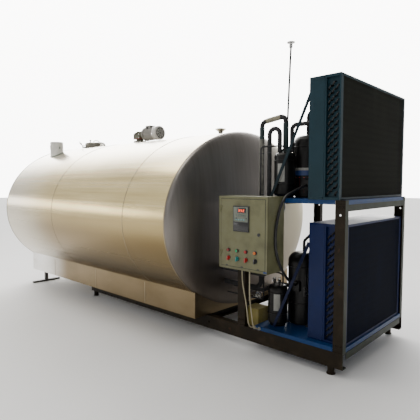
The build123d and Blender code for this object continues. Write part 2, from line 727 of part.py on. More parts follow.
def cabinet_door():
    made = block(DOOR_X0, DOOR_X1, DOOR_FRONT, DOOR_FRONT + 14, DOOR_Z0, DOOR_Z1)
    made = made - block(
        DOOR_X0 + 2, DOOR_X1 - 2, DOOR_FRONT + 2, DOOR_FRONT + 15, DOOR_Z0 + 2, DOOR_Z1 - 2
    )
    y0, y1 = DOOR_FRONT - 2, DOOR_FRONT + 20
    made = made - block(1598, 1746, y0, y1, 1058, 1254)
    for x in SWITCH_X:
        made = made - rod(11.5, (x, y0, LAMP_Z), (x, y1, LAMP_Z))
        made = made - rod(5.4, (x, y0, KNOB_Z), (x, y1, KNOB_Z))
    made = made - rod(6.5, (LOCK_X, y0, LOCK_Z), (LOCK_X, y1, LOCK_Z))
    hinge_x, hinge_y = DOOR_X0 - 4, CAB_FRONT - 6
    for z in (864.4, 1234.4):
        knuckle = disc(5.5, hinge_x, hinge_y, z, z + 24)
        leaf = block(hinge_x + 1, DOOR_X0 + 12, DOOR_FRONT - 3, DOOR_FRONT, z, z + 24)
        made = made + knuckle + leaf
        made = made - disc(2.55, hinge_x, hinge_y, z - 1, z + 30)
    return made


def contactor_panel():
    """Mounting plate inside the cabinet with its row of contactors and terminals."""
    plate = block(CAB_X0 + 40, CAB_X1 - 40, CAB_BACK - 12, CAB_BACK - 9, CAB_Z0 + 40, CAB_Z1 - 40)
    stands = []
    for x in (CAB_X0 + 60, CAB_X1 - 60):
        for z in (CAB_Z0 + 60, CAB_Z1 - 60):
            stands.append(rod(6, (x, CAB_BACK - 9, z), (x, CAB_BACK - 2, z)))
    devices = []
    for k in range(4):
        x = CAB_X0 + 75 + 90 * k
        devices.append(block(x, x + 62, CAB_BACK - 90, CAB_BACK - 12, 1130, 1220))
        devices.append(block(x, x + 62, CAB_BACK - 72, CAB_BACK - 12, 1010, 1070))
    rail = block(CAB_X0 + 70, CAB_X1 - 70, CAB_BACK - 52, CAB_BACK - 12, 830, 880)
    return [plate, *stands, *devices, rail]


def controller():
    made = block(1592, 1752, DOOR_FRONT - 10, DOOR_FRONT - 0.2, 1052, 1260)
    made = fillet(made.edges().group_by(Axis.Y)[0], 3)
    made = made + block(1600, 1744, DOOR_FRONT - 1, DOOR_FRONT + 60, 1060, 1252)
    for x in BUTTON_X:
        made = made - rod(6.4, (x, DOOR_FRONT - 11, BUTTON_Z), (x, DOOR_FRONT - 5, BUTTON_Z))
    return made


def button(x):
    return rod(6, (x, DOOR_FRONT - 12, BUTTON_Z), (x, DOOR_FRONT - 7.5, BUTTON_Z))


def pilot_lights():
    made = []
    for x in SWITCH_X:
        lamp = rod(15, (x, DOOR_FRONT - 5, LAMP_Z), (x, DOOR_FRONT - 0.2, LAMP_Z))
        lamp = lamp + rod(12, (x, DOOR_FRONT - 15, LAMP_Z), (x, DOOR_FRONT - 5, LAMP_Z))
        made.append(lamp + rod(11, (x, DOOR_FRONT - 1, LAMP_Z), (x, DOOR_FRONT + 45, LAMP_Z)))
    return made


def selector_knob(x):
    made = rod(16, (x, DOOR_FRONT - 8, KNOB_Z), (x, DOOR_FRONT - 0.5, KNOB_Z))
    made = made + block(x - 5, x + 5, DOOR_FRONT - 24, DOOR_FRONT - 8, KNOB_Z - 20, KNOB_Z + 14)
    return made + rod(5, (x, DOOR_FRONT - 1, KNOB_Z), (x, DOOR_FRONT + 24, KNOB_Z))


def door_lock():
    """Quarter-turn lock: its head outside, and its tongue behind the door hanging down, unlocked."""
    x, z = LOCK_X, LOCK_Z
    made = rod(13, (x, DOOR_FRONT - 6, z), (x, DOOR_FRONT - 0.4, z))
    made = made - block(x - 1.5, x + 1.5, DOOR_FRONT - 7, DOOR_FRONT - 3, z - 8, z + 8)
    made = made + rod(6, (x, DOOR_FRONT - 1, z), (x, DOOR_FRONT + 22, z))
    tongue = block(x - 9, x + 9, DOOR_FRONT + 17, DOOR_FRONT + 20, z - 70, z + 10)
    return made + tongue


GLANDS = ((1592.0, -735.0), (1672.0, -735.0))
TRAY_GLANDS = ((1648.0, 205.0), (1696.0, 205.0))


def cable_glands():
    made = []
    for x, y in GLANDS:
        gland = disc(14, x, y, CAB_Z0 - 12, CAB_Z0 - 0.2) + disc(9 - 0.2, x, y, CAB_Z0 - 1, CAB_Z0 + 14)
        gland = gland + disc(11, x, y, CAB_Z0 - 21, CAB_Z0 - 12)
        made.append(gland - disc(5.6, x, y, CAB_Z0 - 22, CAB_Z0 - 6))
    lip = -RACK_Y - 2
    for x, z in TRAY_GLANDS:
        gland = rod(13, (x, lip - 0.2, z), (x, lip - 10, z)) + rod(11, (x, lip - 9, z), (x, lip - 17, z))
        made.append(gland - rod(7.3, (x, lip - 18, z), (x, lip - 5, z)))
    conduit = tube(
        12,
        [
            (1735, -325, UPPER_SHELF - 20),
            (1735, -325, 1180),
            (1735, CAB_BACK + 0.3, 1180),
        ],
        [60],
    )
    stand = disc(20, 1735, -325, UPPER_SHELF + 0.2, UPPER_SHELF + 14)
    stand = stand + disc(13, 1735, -325, UPPER_SHELF + 14, UPPER_SHELF + 34)
    stand = stand + disc(12, 1735, -325, UPPER_SHELF - 20, UPPER_SHELF + 1)
    made.append(conduit)
    made.append(stand - disc(10.5, 1735, -325, UPPER_SHELF + 9, UPPER_SHELF + 40))
    return made


def junction_box():
    low, high = BEAM_TOP + 0.3, 345
    made = block(1500, 1642, -565, -420, low, high)
    made = fillet(made.edges().filter_by(Axis.Z), 6)
    lid = block(1504, 1638, -568.5, -565, low + 4, high - 4)
    return [made, lid]


# ---------- cables ----------
SUPPLY_ROUTE = [(1735, -325, UPPER_SHELF + 10), (1785, -325, 2600)]
COMPRESSOR_ROUTE = [
    (1995, -408, 1425),
    (1992, -470, 1412),
    (1975, -560, 1376),
    (1953, -636, 1345),
    (1946, -700, 1262),
    (1944, -742, 1160),
    (1944, -766, 1050),
    (1944, -762, 940),
    (1944, -730, 845),
    (1943, -680, 765),
    (1941, -620, 700),
    (1930, -545, 645),
    (1920, -475, 600),
    (1917, -418, 583),
]
CABLE_1_ROUTE = [
    (1592, -735, 722),
    (1592, -735, 640),
    (1602, -728, 550),
    (1620, -720, 455),
    (1634, -718, 365),
    (1642, -718, 300),
    (1646, -712, 250),
    (1648, -680, 215),
    (1648, -631, 206),
]
CABLE_2_ROUTE = [
    (1672, -735, 722),
    (1672, -735, 630),
    (1668, -731, 530),
    (1672, -726, 440),
    (1682, -720, 355),
    (1689, -718, 300),
    (1693, -712, 250),
    (1696, -680, 215),
    (1696, -631, 206),
]


def supply_cable():
    start, end = SUPPLY_ROUTE
    return rod(8.5, start, end)


def ceiling_hook():
    """Ceiling fitting that holds the supply cable up: a plate, a stem and a clamp."""
    x, y, z = SUPPLY_ROUTE[1]
    clamp = disc(15, x, y, z + 1.0, z + 26)
    return clamp + disc(8, x, y, z + 26, z + 40) + disc(34, x, y, z + 40, z + 46)


def save(shapes, node):
    """One STEP file per node; a node of several solids is saved as a group of them."""
    if isinstance(shapes, list):
        solids = [s for shape in shapes for s in shape.solids()]
        export_step(Compound(children=solids), f"parts/{node}.step")
    else:
        export_step(shapes, f"parts/{node}.step")


def main():
    os.makedirs("parts", exist_ok=True)
    plain = (
        inner_vessel, evaporator_plate, insulation, shell_cladding, outer_heads, skirt_panels,
        saddles, base_frame, support_feet, rear_legs, rack_frame, upper_tray, lower_tray,
        manhole_neck, manhole_lid, lid_gasket, lid_swing_bolt, tank_nozzles, vent_cap, inlet_cup,
        outlet_valve, outlet_valve_lever, gearbox, agitator_motor, motor_fan_cover, motor_fan,
        agitator_shaft, fan_guards, receivers, pipes_upper, pipes_lower, cabinet_shell,
        cabinet_door, contactor_panel, controller, pilot_lights, door_lock, cable_glands,
        junction_box, supply_cable, ceiling_hook,
    )
    for make in plain:
        save(make(), make.__name__)
    save(condenser_core(LOWER), "condenser_core_lower")
    save(condenser_core(UPPER), "condenser_core_upper")
    low_strut = ((1787, -545, LOWER_SHELF + 7), (LOWER[0] - 12, -545, 976))
    high_strut = ((1756, -560, UPPER_SHELF + 7), (UPPER[0] - 12, -560, 2195))
    save(condenser_casing(LOWER, *low_strut), "condenser_casing_lower")
    save(condenser_casing(UPPER, *high_strut), "condenser_casing_upper")
    for level, unit in (("lower", LOWER), ("upper", UPPER)):
        near, far = fan_centres(unit)
        save(condenser_fan(unit, near), f"fan_{level}_near")
        save(condenser_fan(unit, far), f"fan_{level}_far")
    save(compressor(LOWER_COMPRESSOR, 1917, 567), "compressor_lower")
    save(compressor(UPPER_COMPRESSOR, 1995, 1430), "compressor_upper")
    for side, x in zip(("left", "right"), BUTTON_X):
        save(button(x), f"button_{side}")
    for k, x in enumerate(SWITCH_X, 1):
        save(selector_knob(x), f"selector_knob_{k}")
    save(cord(11, COMPRESSOR_ROUTE, "compressor_cable"), "compressor_cable")
    save(cord(5, CABLE_1_ROUTE, "cabinet_cable_1"), "cabinet_cable_1")
    save(cord(5, CABLE_2_ROUTE, "cabinet_cable_2"), "cabinet_cable_2")


main()
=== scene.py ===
"""Looks of the bulk milk tank: materials, small fittings, cables, floor, light and camera.

Metres, in the row frame: X along the tank to the cooling rack, Y across it, Z up from the floor.
"""

import math

import bmesh
import bpy
from mathutils import Matrix, Vector


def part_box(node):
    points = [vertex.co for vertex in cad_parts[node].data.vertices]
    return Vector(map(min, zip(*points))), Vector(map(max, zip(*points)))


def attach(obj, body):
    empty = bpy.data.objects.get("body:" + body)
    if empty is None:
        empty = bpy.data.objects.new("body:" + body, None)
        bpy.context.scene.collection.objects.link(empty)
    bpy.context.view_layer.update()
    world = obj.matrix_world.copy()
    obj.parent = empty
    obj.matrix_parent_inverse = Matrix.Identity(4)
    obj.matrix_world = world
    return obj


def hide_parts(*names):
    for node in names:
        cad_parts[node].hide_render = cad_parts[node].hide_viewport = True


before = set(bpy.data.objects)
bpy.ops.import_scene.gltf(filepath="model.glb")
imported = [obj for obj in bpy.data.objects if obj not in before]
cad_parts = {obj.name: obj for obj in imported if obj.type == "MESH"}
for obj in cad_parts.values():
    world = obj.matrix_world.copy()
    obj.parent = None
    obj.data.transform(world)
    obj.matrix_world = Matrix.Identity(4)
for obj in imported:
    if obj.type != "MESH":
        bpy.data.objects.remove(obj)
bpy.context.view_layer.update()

# --- Tank ---
TANK_A, TANK_B, AXIS_Z = 1.134, 0.890, 1.078
REAR_X, FRONT_X = -2.303, 1.052
SEAMS = (-0.987, 0.443)
MANHOLE_X, LID_TOP, NECK_R = -1.860, 2.055, 0.122
AGITATOR_X, MOTOR_Z = -0.740, 2.079
FAN_FACE = AGITATOR_X + 0.414  # outer face of the motor's fan cover
VENT_X, STEM_R = 0.694, 0.0205
INLET_X, INLET_Y, CUP_R = -1.938, -0.560, 0.0885

# --- Rack ---
RACK_Y, RACK_RIGHT = 0.621, 2.445
POST_X, POST_W = (1.453, 2.365), 0.080
FOOT_X, FOOT_Y = (-0.930, 2.335), (-0.581, 0.581)
CASING_BACK = {"lower": 2.124, "upper": 2.158}
VESSELS = {  # centre, radius, foot and top of each upright vessel
    "compressor_upper": ((1.917, -0.250), 0.125, 1.320, 1.850),
    "compressor_lower": ((1.897, -0.250), 0.135, 0.221, 0.845),
    "receiver_upper": ((1.822, -0.455), 0.088, 1.320, 1.702),
    "receiver_lower": ((1.768, -0.460), 0.084, 0.221, 0.572),
}
SUCTION_PIPE, COLUMN_PIPE, LAGGED_PIPE = (1.574, -0.440), (1.690, -0.490), (1.812, -0.430)

# --- Control cabinet ---
CAB_X = (1.433, 1.928)
CAB_Z = (0.737, 1.337)
CAB_FACE, DOOR_FRONT = -0.8462, -0.848
DOOR_X, DOOR_Z = (1.457, 1.904), (0.760, 1.314)
CONTROLLER_X = (1.599, 1.745)
SWITCH_X = (1.541, 1.632, 1.723, 1.814)
LAMP_Z, KNOB_Z = 0.894, 0.829

# --- Cable routes: the ones the CAD cables follow ---
SUPPLY_ROUTE = [(1.735, -0.325, 1.330), (1.760, -0.325, 1.965), (1.785, -0.325, 2.600)]
COMPRESSOR_ROUTE = [
    (1.995, -0.408, 1.425),
    (1.992, -0.470, 1.412),
    (1.975, -0.560, 1.376),
    (1.953, -0.636, 1.345),
    (1.946, -0.700, 1.262),
    (1.944, -0.742, 1.160),
    (1.944, -0.766, 1.050),
    (1.944, -0.762, 0.940),
    (1.944, -0.730, 0.845),
    (1.943, -0.680, 0.765),
    (1.941, -0.620, 0.700),
    (1.930, -0.545, 0.645),
    (1.920, -0.475, 0.600),
    (1.917, -0.418, 0.583),
]
CABLE_1_ROUTE = [
    (1.592, -0.735, 0.722),
    (1.592, -0.735, 0.640),
    (1.602, -0.728, 0.550),
    (1.620, -0.720, 0.455),
    (1.634, -0.718, 0.365),
    (1.642, -0.718, 0.300),
    (1.646, -0.712, 0.250),
    (1.648, -0.680, 0.215),
    (1.648, -0.631, 0.206),
]
CABLE_2_ROUTE = [
    (1.672, -0.735, 0.722),
    (1.672, -0.735, 0.630),
    (1.668, -0.731, 0.530),
    (1.672, -0.726, 0.440),
    (1.682, -0.720, 0.355),
    (1.689, -0.718, 0.300),
    (1.693, -0.712, 0.250),
    (1.696, -0.680, 0.215),
    (1.696, -0.631, 0.206),
]


def placed(name, data):
    """A new object with the data, linked to the scene."""
    made = bpy.data.objects.new(name, data)
    bpy.context.scene.collection.objects.link(made)
    return made


def fill_ramp(ramp, stops):
    """Sets a colour ramp's elements from (position, colour) pairs."""
    while len(ramp.elements) < len(stops):
        ramp.elements.new(0.5)
    for element, (position, colour) in zip(ramp.elements, stops):
        element.position = position
        element.color = (*colour, 1.0)


def map_range(tree, source, start=(0.0, 1.0), end=(0.0, 1.0), curve="LINEAR"):
    """A node that carries the start range over to the end range."""
    made = tree.nodes.new("ShaderNodeMapRange")
    made.interpolation_type = curve
    for side, (low, high) in (("From", start), ("To", end)):
        made.inputs[f"{side} Min"].default_value = low
        made.inputs[f"{side} Max"].default_value = high
    tree.links.new(source, made.inputs["Value"])
    return made.outputs["Result"]


# ---------- materials ----------
class Finish:
    """Builds one procedural material, node by node."""

    def __init__(self, name, colour, roughness, metallic=0.0, specular=0.5):
        self.material = bpy.data.materials.new(name)
        self.material.use_nodes = True
        self.tree = self.material.node_tree
        self.shader = self.tree.nodes["Principled BSDF"]
        self.shader.inputs["Base Color"].default_value = (*colour, 1.0)
        self.shader.inputs["Roughness"].default_value = roughness
        self.shader.inputs["Metallic"].default_value = metallic
        self.shader.inputs["Specular IOR Level"].default_value = specular
        self.place = self.tree.nodes.new("ShaderNodeTexCoord").outputs["Object"]
        self.height = None

    def node(self, kind, **values):
        made = self.tree.nodes.new(kind)
        for key, value in values.items():
            setattr(made, key, value)
        return made

    def stretched(self, scale):
        """Object coordinates scaled per axis, so a pattern can run one way."""
        mapping = self.node("ShaderNodeMapping")
        mapping.inputs["Scale"].default_value = scale
        self.tree.links.new(self.place, mapping.inputs["Vector"])
        return mapping.outputs["Vector"]

    def noise(self, scale, detail=4.0, stretch=None, roughness=0.55):
        made = self.node("ShaderNodeTexNoise")
        made.inputs["Scale"].default_value = scale
        made.inputs["Detail"].default_value = detail
        made.inputs["Roughness"].default_value = roughness
        where = self.stretched(stretch) if stretch else self.place
        self.tree.links.new(where, made.inputs["Vector"])
        return made.outputs["Fac"]

    def ramp(self, source, stops):
        """A colour ramp; stops are (position, colour or grey)."""
        made = self.node("ShaderNodeValToRGB")
        colours = [(p, (v, v, v) if isinstance(v, float) else v) for p, v in stops]
        fill_ramp(made.color_ramp, colours)
        self.tree.links.new(source, made.inputs["Fac"])
        return made.outputs["Color"]

    def mix(self, fac, first, second, blend="MIX"):
        made = self.node("ShaderNodeMix", data_type="RGBA", blend_type=blend)
        sockets = made.inputs
        for socket, value in ((sockets[0], fac), (sockets[6], first), (sockets[7], second)):
            if isinstance(value, (float, tuple)):
                socket.default_value = value if isinstance(value, float) else (*value, 1.0)
            else:
                self.tree.links.new(value, socket)
        return made.outputs[2]

    def axis(self, which):
        """One coordinate of the surface, in metres."""
        made = self.node("ShaderNodeSeparateXYZ")
        self.tree.links.new(self.place, made.inputs[0])
        return made.outputs[which]

    def between(self, source, low, high):
        """A smooth step from 0 at low to 1 at high."""
        return map_range(self.tree, source, (low, high), curve="SMOOTHSTEP")

    def paint(self, source):
        self.tree.links.new(source, self.shader.inputs["Base Color"])
        return self

    def gloss(self, source, low, high):
        """Roughness that runs from low to high with the source."""
        rough = map_range(self.tree, source, end=(low, high))
        self.tree.links.new(rough, self.shader.inputs["Roughness"])
        return self

    def bump(self, source, strength, distance):
        made = self.node("ShaderNodeBump")
        made.inputs["Strength"].default_value = strength
        made.inputs["Distance"].default_value = distance
        self.tree.links.new(source, made.inputs["Height"])
        if self.height is not None:
            self.tree.links.new(self.height, made.inputs["Normal"])
        self.height = made.outputs["Normal"]
        self.tree.links.new(self.height, self.shader.inputs["Normal"])
        return self


def steel(name, tint, low, high, stretch, streak=0.10):
    """Brushed stainless: streaks along the brushing, cloudy tone, faint marks."""
    made = Finish(name, tint, (low + high) / 2, 1.0)
    lines = made.noise(1.0, 6.0, stretch, 0.7)
    cloud = made.noise(1.7, 3.0)
    dark = tuple(c * (1 - 2 * streak) for c in tint)
    light = tuple(min(1.0, c * (1 + streak)) for c in tint)
    tone = made.ramp(lines, [(0.3, dark), (0.7, light)])
    soiled = made.ramp(cloud, [(0.3, 0.86), (0.65, 1.0)])
    made.paint(made.mix(1.0, tone, soiled, "MULTIPLY"))
    made.gloss(lines, low, high)
    made.bump(lines, 0.12, 0.0006)
    return made


def shell_steel():
    """The shell's cladding: brushed round the tank; painted shade makes it warmer and darker low down,
    and painted highlights make its top and its rear end paler.
    """
    made = Finish("shell_steel", (0.60, 0.50, 0.32), 0.3, 1.0)
    lines = made.noise(1.0, 7.0, (0.45, 13.0, 24.0), 0.62)
    broad = made.noise(1.0, 3.0, (0.8, 1.6, 3.6), 0.5)
    hair = made.noise(1.0, 4.0, (130.0, 1.5, 1.5), 0.7)
    tone = made.ramp(lines, [(0.30, (0.76, 0.605, 0.285)), (0.70, (0.93, 0.775, 0.43))])
    bands = made.ramp(broad, [(0.35, (0.84, 0.82, 0.77)), (0.62, (1.0, 1.0, 1.0))])
    tone = made.mix(1.0, tone, bands, "MULTIPLY")
    # Painted highlight: the top of the shell is mixed towards a pale tone.
    high = made.between(made.axis("Z"), 1.45, 1.93)
    tone = made.mix(made.ramp(high, [(0.0, 0.0), (1.0, 0.8)]), tone, (0.93, 0.90, 0.82))
    # Painted highlight: towards the rear end the shell is mixed towards a pale tone.
    front = made.between(made.axis("X"), -2.25, -0.95)
    rear = made.ramp(front, [(0.0, 0.60), (1.0, 0.0)])
    tone = made.mix(rear, tone, (0.86, 0.84, 0.79))
    # Painted shade: the lower part darkens and warms, most towards the front end.
    low = made.between(made.axis("Z"), 1.32, 0.88)
    shade = made.mix(front, (0.62, 0.57, 0.46), (0.215, 0.155, 0.070))
    tone = made.mix(low, tone, shade)
    made.paint(tone)
    made.gloss(lines, 0.16, 0.34)
    made.bump(hair, 0.06, 0.0004)
    dents = made.noise(2.2, 2.0, (1.0, 0.5, 0.5))
    return made.bump(dents, 0.25, 0.012)


def skirt_steel():
    """The skirt's plain sheet: smooth and tan, with a painted highlight that makes it paler at the
    rear end.
    """
    made = Finish("skirt_steel", (0.26, 0.19, 0.10), 0.36, 1.0)
    cloud = made.noise(1.0, 4.0, (2.2, 2.2, 5.0))
    # Painted highlight: the rear end of the skirt is mixed towards near white.
    front = made.between(made.axis("X"), -1.95, -1.25)
    tone = made.mix(front, (0.90, 0.89, 0.87), (0.235, 0.180, 0.105))
    marks = made.ramp(cloud, [(0.3, (0.80, 0.78, 0.74)), (0.66, (1.0, 1.0, 1.0))])
    made.paint(made.mix(1.0, tone, marks, "MULTIPLY"))
    made.gloss(cloud, 0.30, 0.42)
    return made.bump(made.noise(1.0, 5.0, (60.0, 60.0, 6.0)), 0.06, 0.0004)


def head_steel():
    """The heads: duller steel given a darker tone as painted shade, brushed up and down, paler towards
    the far side by a painted highlight and darker low down by painted shade.
    """
    # Painted shade: the heads' tint and tones are darker than the shell's.
    made = Finish("head_steel", (0.25, 0.22, 0.19), 0.4, 1.0)
    lines = made.noise(1.0, 6.0, (2.0, 38.0, 2.0), 0.7)
    broad = made.noise(1.0, 3.0, (0.5, 3.0, 0.5), 0.5)
    tone = made.ramp(lines, [(0.30, (0.250, 0.232, 0.215)), (0.70, (0.300, 0.280, 0.262))])
    bands = made.ramp(broad, [(0.35, (0.80, 0.78, 0.77)), (0.65, (1.0, 1.0, 1.0))])
    tone = made.mix(1.0, tone, bands, "MULTIPLY")
    # Painted highlight: the heads are mixed towards a paler tone towards the far side.
    far = made.between(made.axis("Y"), 0.15, 0.95)
    tone = made.mix(made.ramp(far, [(0.0, 0.0), (1.0, 0.75)]), tone, (0.42, 0.38, 0.24))
    # Painted shade: the heads darken low down.
    low = made.between(made.axis("Z"), 1.30, 0.40)
    tone = made.mix(made.ramp(low, [(0.0, 0.0), (1.0, 0.75)]), tone, (0.105, 0.082, 0.062))
    made.paint(tone)
    made.gloss(lines, 0.34, 0.48)
    return made.bump(lines, 0.10, 0.0006)


def painted(name, colour, roughness=0.42, wear=0.15, scale=9.0):
    """Brushed or sprayed paint with dust, uneven gloss and a slight orange peel."""
    made = Finish(name, colour, roughness, specular=0.25)
    patches = made.noise(scale, 6.0)
    fine = made.noise(scale * 22, 3.0)
    dusty = tuple(c + (0.45 - c) * wear for c in colour)
    dark = tuple(c * 0.72 for c in colour)
    tone = made.ramp(patches, [(0.3, dark), (0.5, colour), (0.72, dusty)])
    made.paint(tone)
    made.gloss(patches, roughness - 0.1, roughness + 0.16)
    return made.bump(fine, 0.10, 0.0005)


def casing_paint(name, colour, back):
    """Casing paint; the stays behind the casing's back come out darker."""
    made = Finish(name, colour, 0.40, specular=0.22)
    patches = made.noise(4.0, 5.0)
    tone = made.ramp(patches, [(0.3, tuple(c * 0.75 for c in colour)), (0.7, colour)])
    # Darker where X lies behind the casing's back, on the stays.
    stay = made.between(made.axis("X"), back, back - 0.004)
    tone = made.mix(stay, tone, tuple(c * 0.45 for c in colour))
    made.paint(tone)
    made.gloss(patches, 0.34, 0.52)
    return made.bump(made.noise(180.0, 3.0), 0.10, 0.0005)


def frame_paint():
    """Dark brown primer with rusty welds; its end faces get a paler grey-green, painted light on that
    side.
    """
    colour = (0.016, 0.0105, 0.0045)
    made = Finish("brown_paint", colour, 0.46, specular=0.16)
    patches = made.noise(7.0, 6.0)
    tone = made.ramp(
        patches, [(0.3, (0.009, 0.006, 0.003)), (0.55, colour), (0.75, (0.030, 0.021, 0.012))]
    )
    spots = made.ramp(made.noise(13.0, 8.0, None, 0.7), [(0.62, 0.0), (0.70, 0.8)])
    tone = made.mix(spots, tone, (0.050, 0.022, 0.010))
    # Painted light: the faces at the rack's right end are mixed towards a paler grey-green.
    end = made.between(made.axis("X"), RACK_RIGHT - 0.0012, RACK_RIGHT - 0.0004)
    tone = made.mix(made.ramp(end, [(0.0, 0.0), (1.0, 0.85)]), tone, (0.026, 0.034, 0.022))
    made.paint(tone)
    made.gloss(patches, 0.36, 0.6)
    return made.bump(made.noise(150.0, 3.0), 0.15, 0.0006)


def plastic(name, colour, roughness=0.4, grain=900.0):
    """Moulded plastic with a fine grain and slight unevenness of tone."""
    made = Finish(name, colour, roughness)
    tone = made.noise(14.0, 3.0)
    made.paint(made.ramp(tone, [(0.35, tuple(c * 0.82 for c in colour)), (0.65, colour)]))
    made.gloss(tone, roughness - 0.06, roughness + 0.1)
    return made.bump(made.noise(grain, 2.0), 0.12, 0.0002)


def foam_rubber(name, colour):
    """Closed-cell pipe insulation: matt, with a pitted skin."""
    made = Finish(name, colour, 0.82)
    tone = made.noise(26.0, 5.0)
    made.paint(made.ramp(tone, [(0.3, colour), (0.72, tuple(c * 2.1 + 0.01 for c in colour))]))
    made.bump(made.noise(420.0, 4.0), 0.35, 0.0008)
    return made.bump(tone, 0.2, 0.004)


def finned(name, dark, pale):
    """Painted fin edges: fine upright lines with painted shade in the gaps between them, the tube rows
    behind, and dust.
    """
    made = Finish(name, dark, 0.75, specular=0.04)
    wave = made.node("ShaderNodeTexWave", bands_direction="Y")
    wave.inputs["Scale"].default_value = 62.0
    made.tree.links.new(made.place, wave.inputs["Vector"])
    rows = made.node("ShaderNodeTexWave", bands_direction="Z")
    rows.inputs["Scale"].default_value = 6.3
    made.tree.links.new(made.place, rows.inputs["Vector"])
    # Painted shade: the dark lines between the fin edges stand for the shaded gaps.
    edges = made.ramp(wave.outputs["Fac"], [(0.1, dark), (0.9, pale)])
    tubes = made.ramp(rows.outputs["Fac"], [(0.1, 0.78), (0.6, 1.0)])
    tone = made.mix(1.0, edges, tubes, "MULTIPLY")
    dust = made.ramp(made.noise(1.0, 5.0, (1.0, 5.0, 1.2)), [(0.50, 0.0), (0.85, 0.6)])
    made.paint(made.mix(dust, tone, tuple(c * 1.3 for c in pale)))
    return made.bump(wave.outputs["Fac"], 0.5, 0.0015)


def glowing(name, colour, strength):
    made = Finish(name, colour, 0.25)
    made.shader.inputs["Emission Color"].default_value = (*colour, 1.0)
    made.shader.inputs["Emission Strength"].default_value = strength
    tone = made.noise(60.0, 2.0)
    made.paint(made.ramp(tone, [(0.3, tuple(c * 0.8 for c in colour)), (0.7, colour)]))
    return made


ALONG_X = (2.0, 70.0, 70.0)
ROUND_Z = (60.0, 60.0, 4.0)
MATERIALS = {
    "shell": shell_steel(),
    "head": head_steel(),
    "skirt": skirt_steel(),
    "fitting": steel("fitting_steel", (0.66, 0.64, 0.60), 0.20, 0.36, ROUND_Z),
    "polished": steel("polished_steel", (0.84, 0.83, 0.80), 0.10, 0.22, ROUND_Z, 0.04),
    "inner": steel("inner_steel", (0.70, 0.69, 0.67), 0.22, 0.34, ALONG_X),
    "foam": plastic("foam", (0.72, 0.62, 0.36), 0.8, 300.0),
    "brown": frame_paint(),
    # Painted shade: this rougher steel gets a dark tone for the shade on the manhole and the vent cap.
    "dull_shaded": steel("dull_shaded_steel", (0.27, 0.255, 0.215), 0.30, 0.46, ROUND_Z),
    "rear_leg": painted("rear_leg_paint", (0.060, 0.055, 0.050), 0.5, 0.2),
    "tray": painted("tray_paint", (0.003, 0.036, 0.130), 0.40, 0.0),
    "teal": casing_paint("teal_paint", (0.0064, 0.0290, 0.0420), CASING_BACK["upper"] - 0.002),
    "blue": casing_paint("blue_paint", (0.0012, 0.0105, 0.0680), CASING_BACK["lower"] - 0.002),
    "fins_upper": finned("fins_upper", (0.0025, 0.0028, 0.0018), (0.0110, 0.0120, 0.0080)),
    "fins_lower": finned("fins_lower", (0.0001, 0.0010, 0.0050), (0.0003, 0.0032, 0.0150)),
    "black": painted("black_paint", (0.0035, 0.0034, 0.0034), 0.30, 0.01, 8.0),
    "oxblood": painted("oxblood_paint", (0.035, 0.006, 0.006), 0.35, 0.02, 8.0),
    "tube": foam_rubber("tube_insulation", (0.0045, 0.0045, 0.0055)),
    "gearbox": painted("gearbox_paint", (0.105, 0.102, 0.070), 0.36, 0.12, 24.0),
    "motor": painted("motor_paint", (0.27, 0.26, 0.24), 0.30, 0.16, 24.0),
    "fan_cover": painted("fan_cover_paint", (0.55, 0.54, 0.51), 0.28, 0.12, 24.0),
    "maroon": painted("maroon_paint", (0.17, 0.030, 0.025), 0.4, 0.05, 24.0),
    "cabinet": painted("cabinet_paint", (0.150, 0.148, 0.078), 0.38, 0.05, 6.0),
    "rubber": foam_rubber("rubber", (0.012, 0.012, 0.012)),
    "white": plastic("white_plastic", (0.80, 0.79, 0.74), 0.32),
    "rim": plastic("rim_plastic", (0.30, 0.36, 0.30), 0.4),
    "grey": plastic("grey_plastic", (0.30, 0.31, 0.30), 0.42),
    "dark": plastic("dark_plastic", (0.022, 0.024, 0.026), 0.36),
    "bezel": plastic("bezel_plastic", (0.012, 0.013, 0.013), 0.36),
    "keypad": plastic("keypad_plastic", (0.135, 0.155, 0.120), 0.32),
    "smoked": plastic("smoked_plastic", (0.014, 0.014, 0.015), 0.22),
    "zinc": steel("zinc", (0.58, 0.58, 0.57), 0.34, 0.5, (20.0, 20.0, 20.0)),
    "black_cable": plastic("black_cable", (0.008, 0.008, 0.009), 0.45, 600.0),
    "cream_cable": plastic("cream_cable", (0.42, 0.37, 0.24), 0.45, 600.0),
    "yellow": painted("yellow_paint", (0.20, 0.165, 0.045), 0.45, 0.05, 12.0),
    "beige_tape": foam_rubber("beige_tape", (0.13, 0.12, 0.085)),
    "teal_tube": foam_rubber("teal_tube", (0.006, 0.017, 0.018)),
    "pale_tape": foam_rubber("pale_tape", (0.085, 0.082, 0.070)),
    "label": plastic("label", (0.27, 0.27, 0.25), 0.4),
    "red": plastic("red_plastic", (0.36, 0.020, 0.014), 0.26),
    "dark_red": plastic("dark_red_plastic", (0.20, 0.022, 0.020), 0.24),
    "green": plastic("green_plastic", (0.030, 0.30, 0.12), 0.24),
    "teal_knob": plastic("teal_plastic", (0.020, 0.22, 0.20), 0.28),
    "orange": plastic("orange_plastic", (0.62, 0.16, 0.030), 0.24),
    "cyan": plastic("cyan_mark", (0.10, 0.42, 0.50), 0.4),
    "digit": glowing("led_digit", (0.95, 0.13, 0.03), 3.0),
    "light_blue": plastic("light_blue", (0.012, 0.040, 0.150), 0.4),
    "weld": steel("weld_bead", (0.72, 0.68, 0.62), 0.34, 0.55, (200.0, 200.0, 200.0)),
    "seam": steel("seam_steel", (0.36, 0.30, 0.20), 0.36, 0.5, ROUND_Z),
}

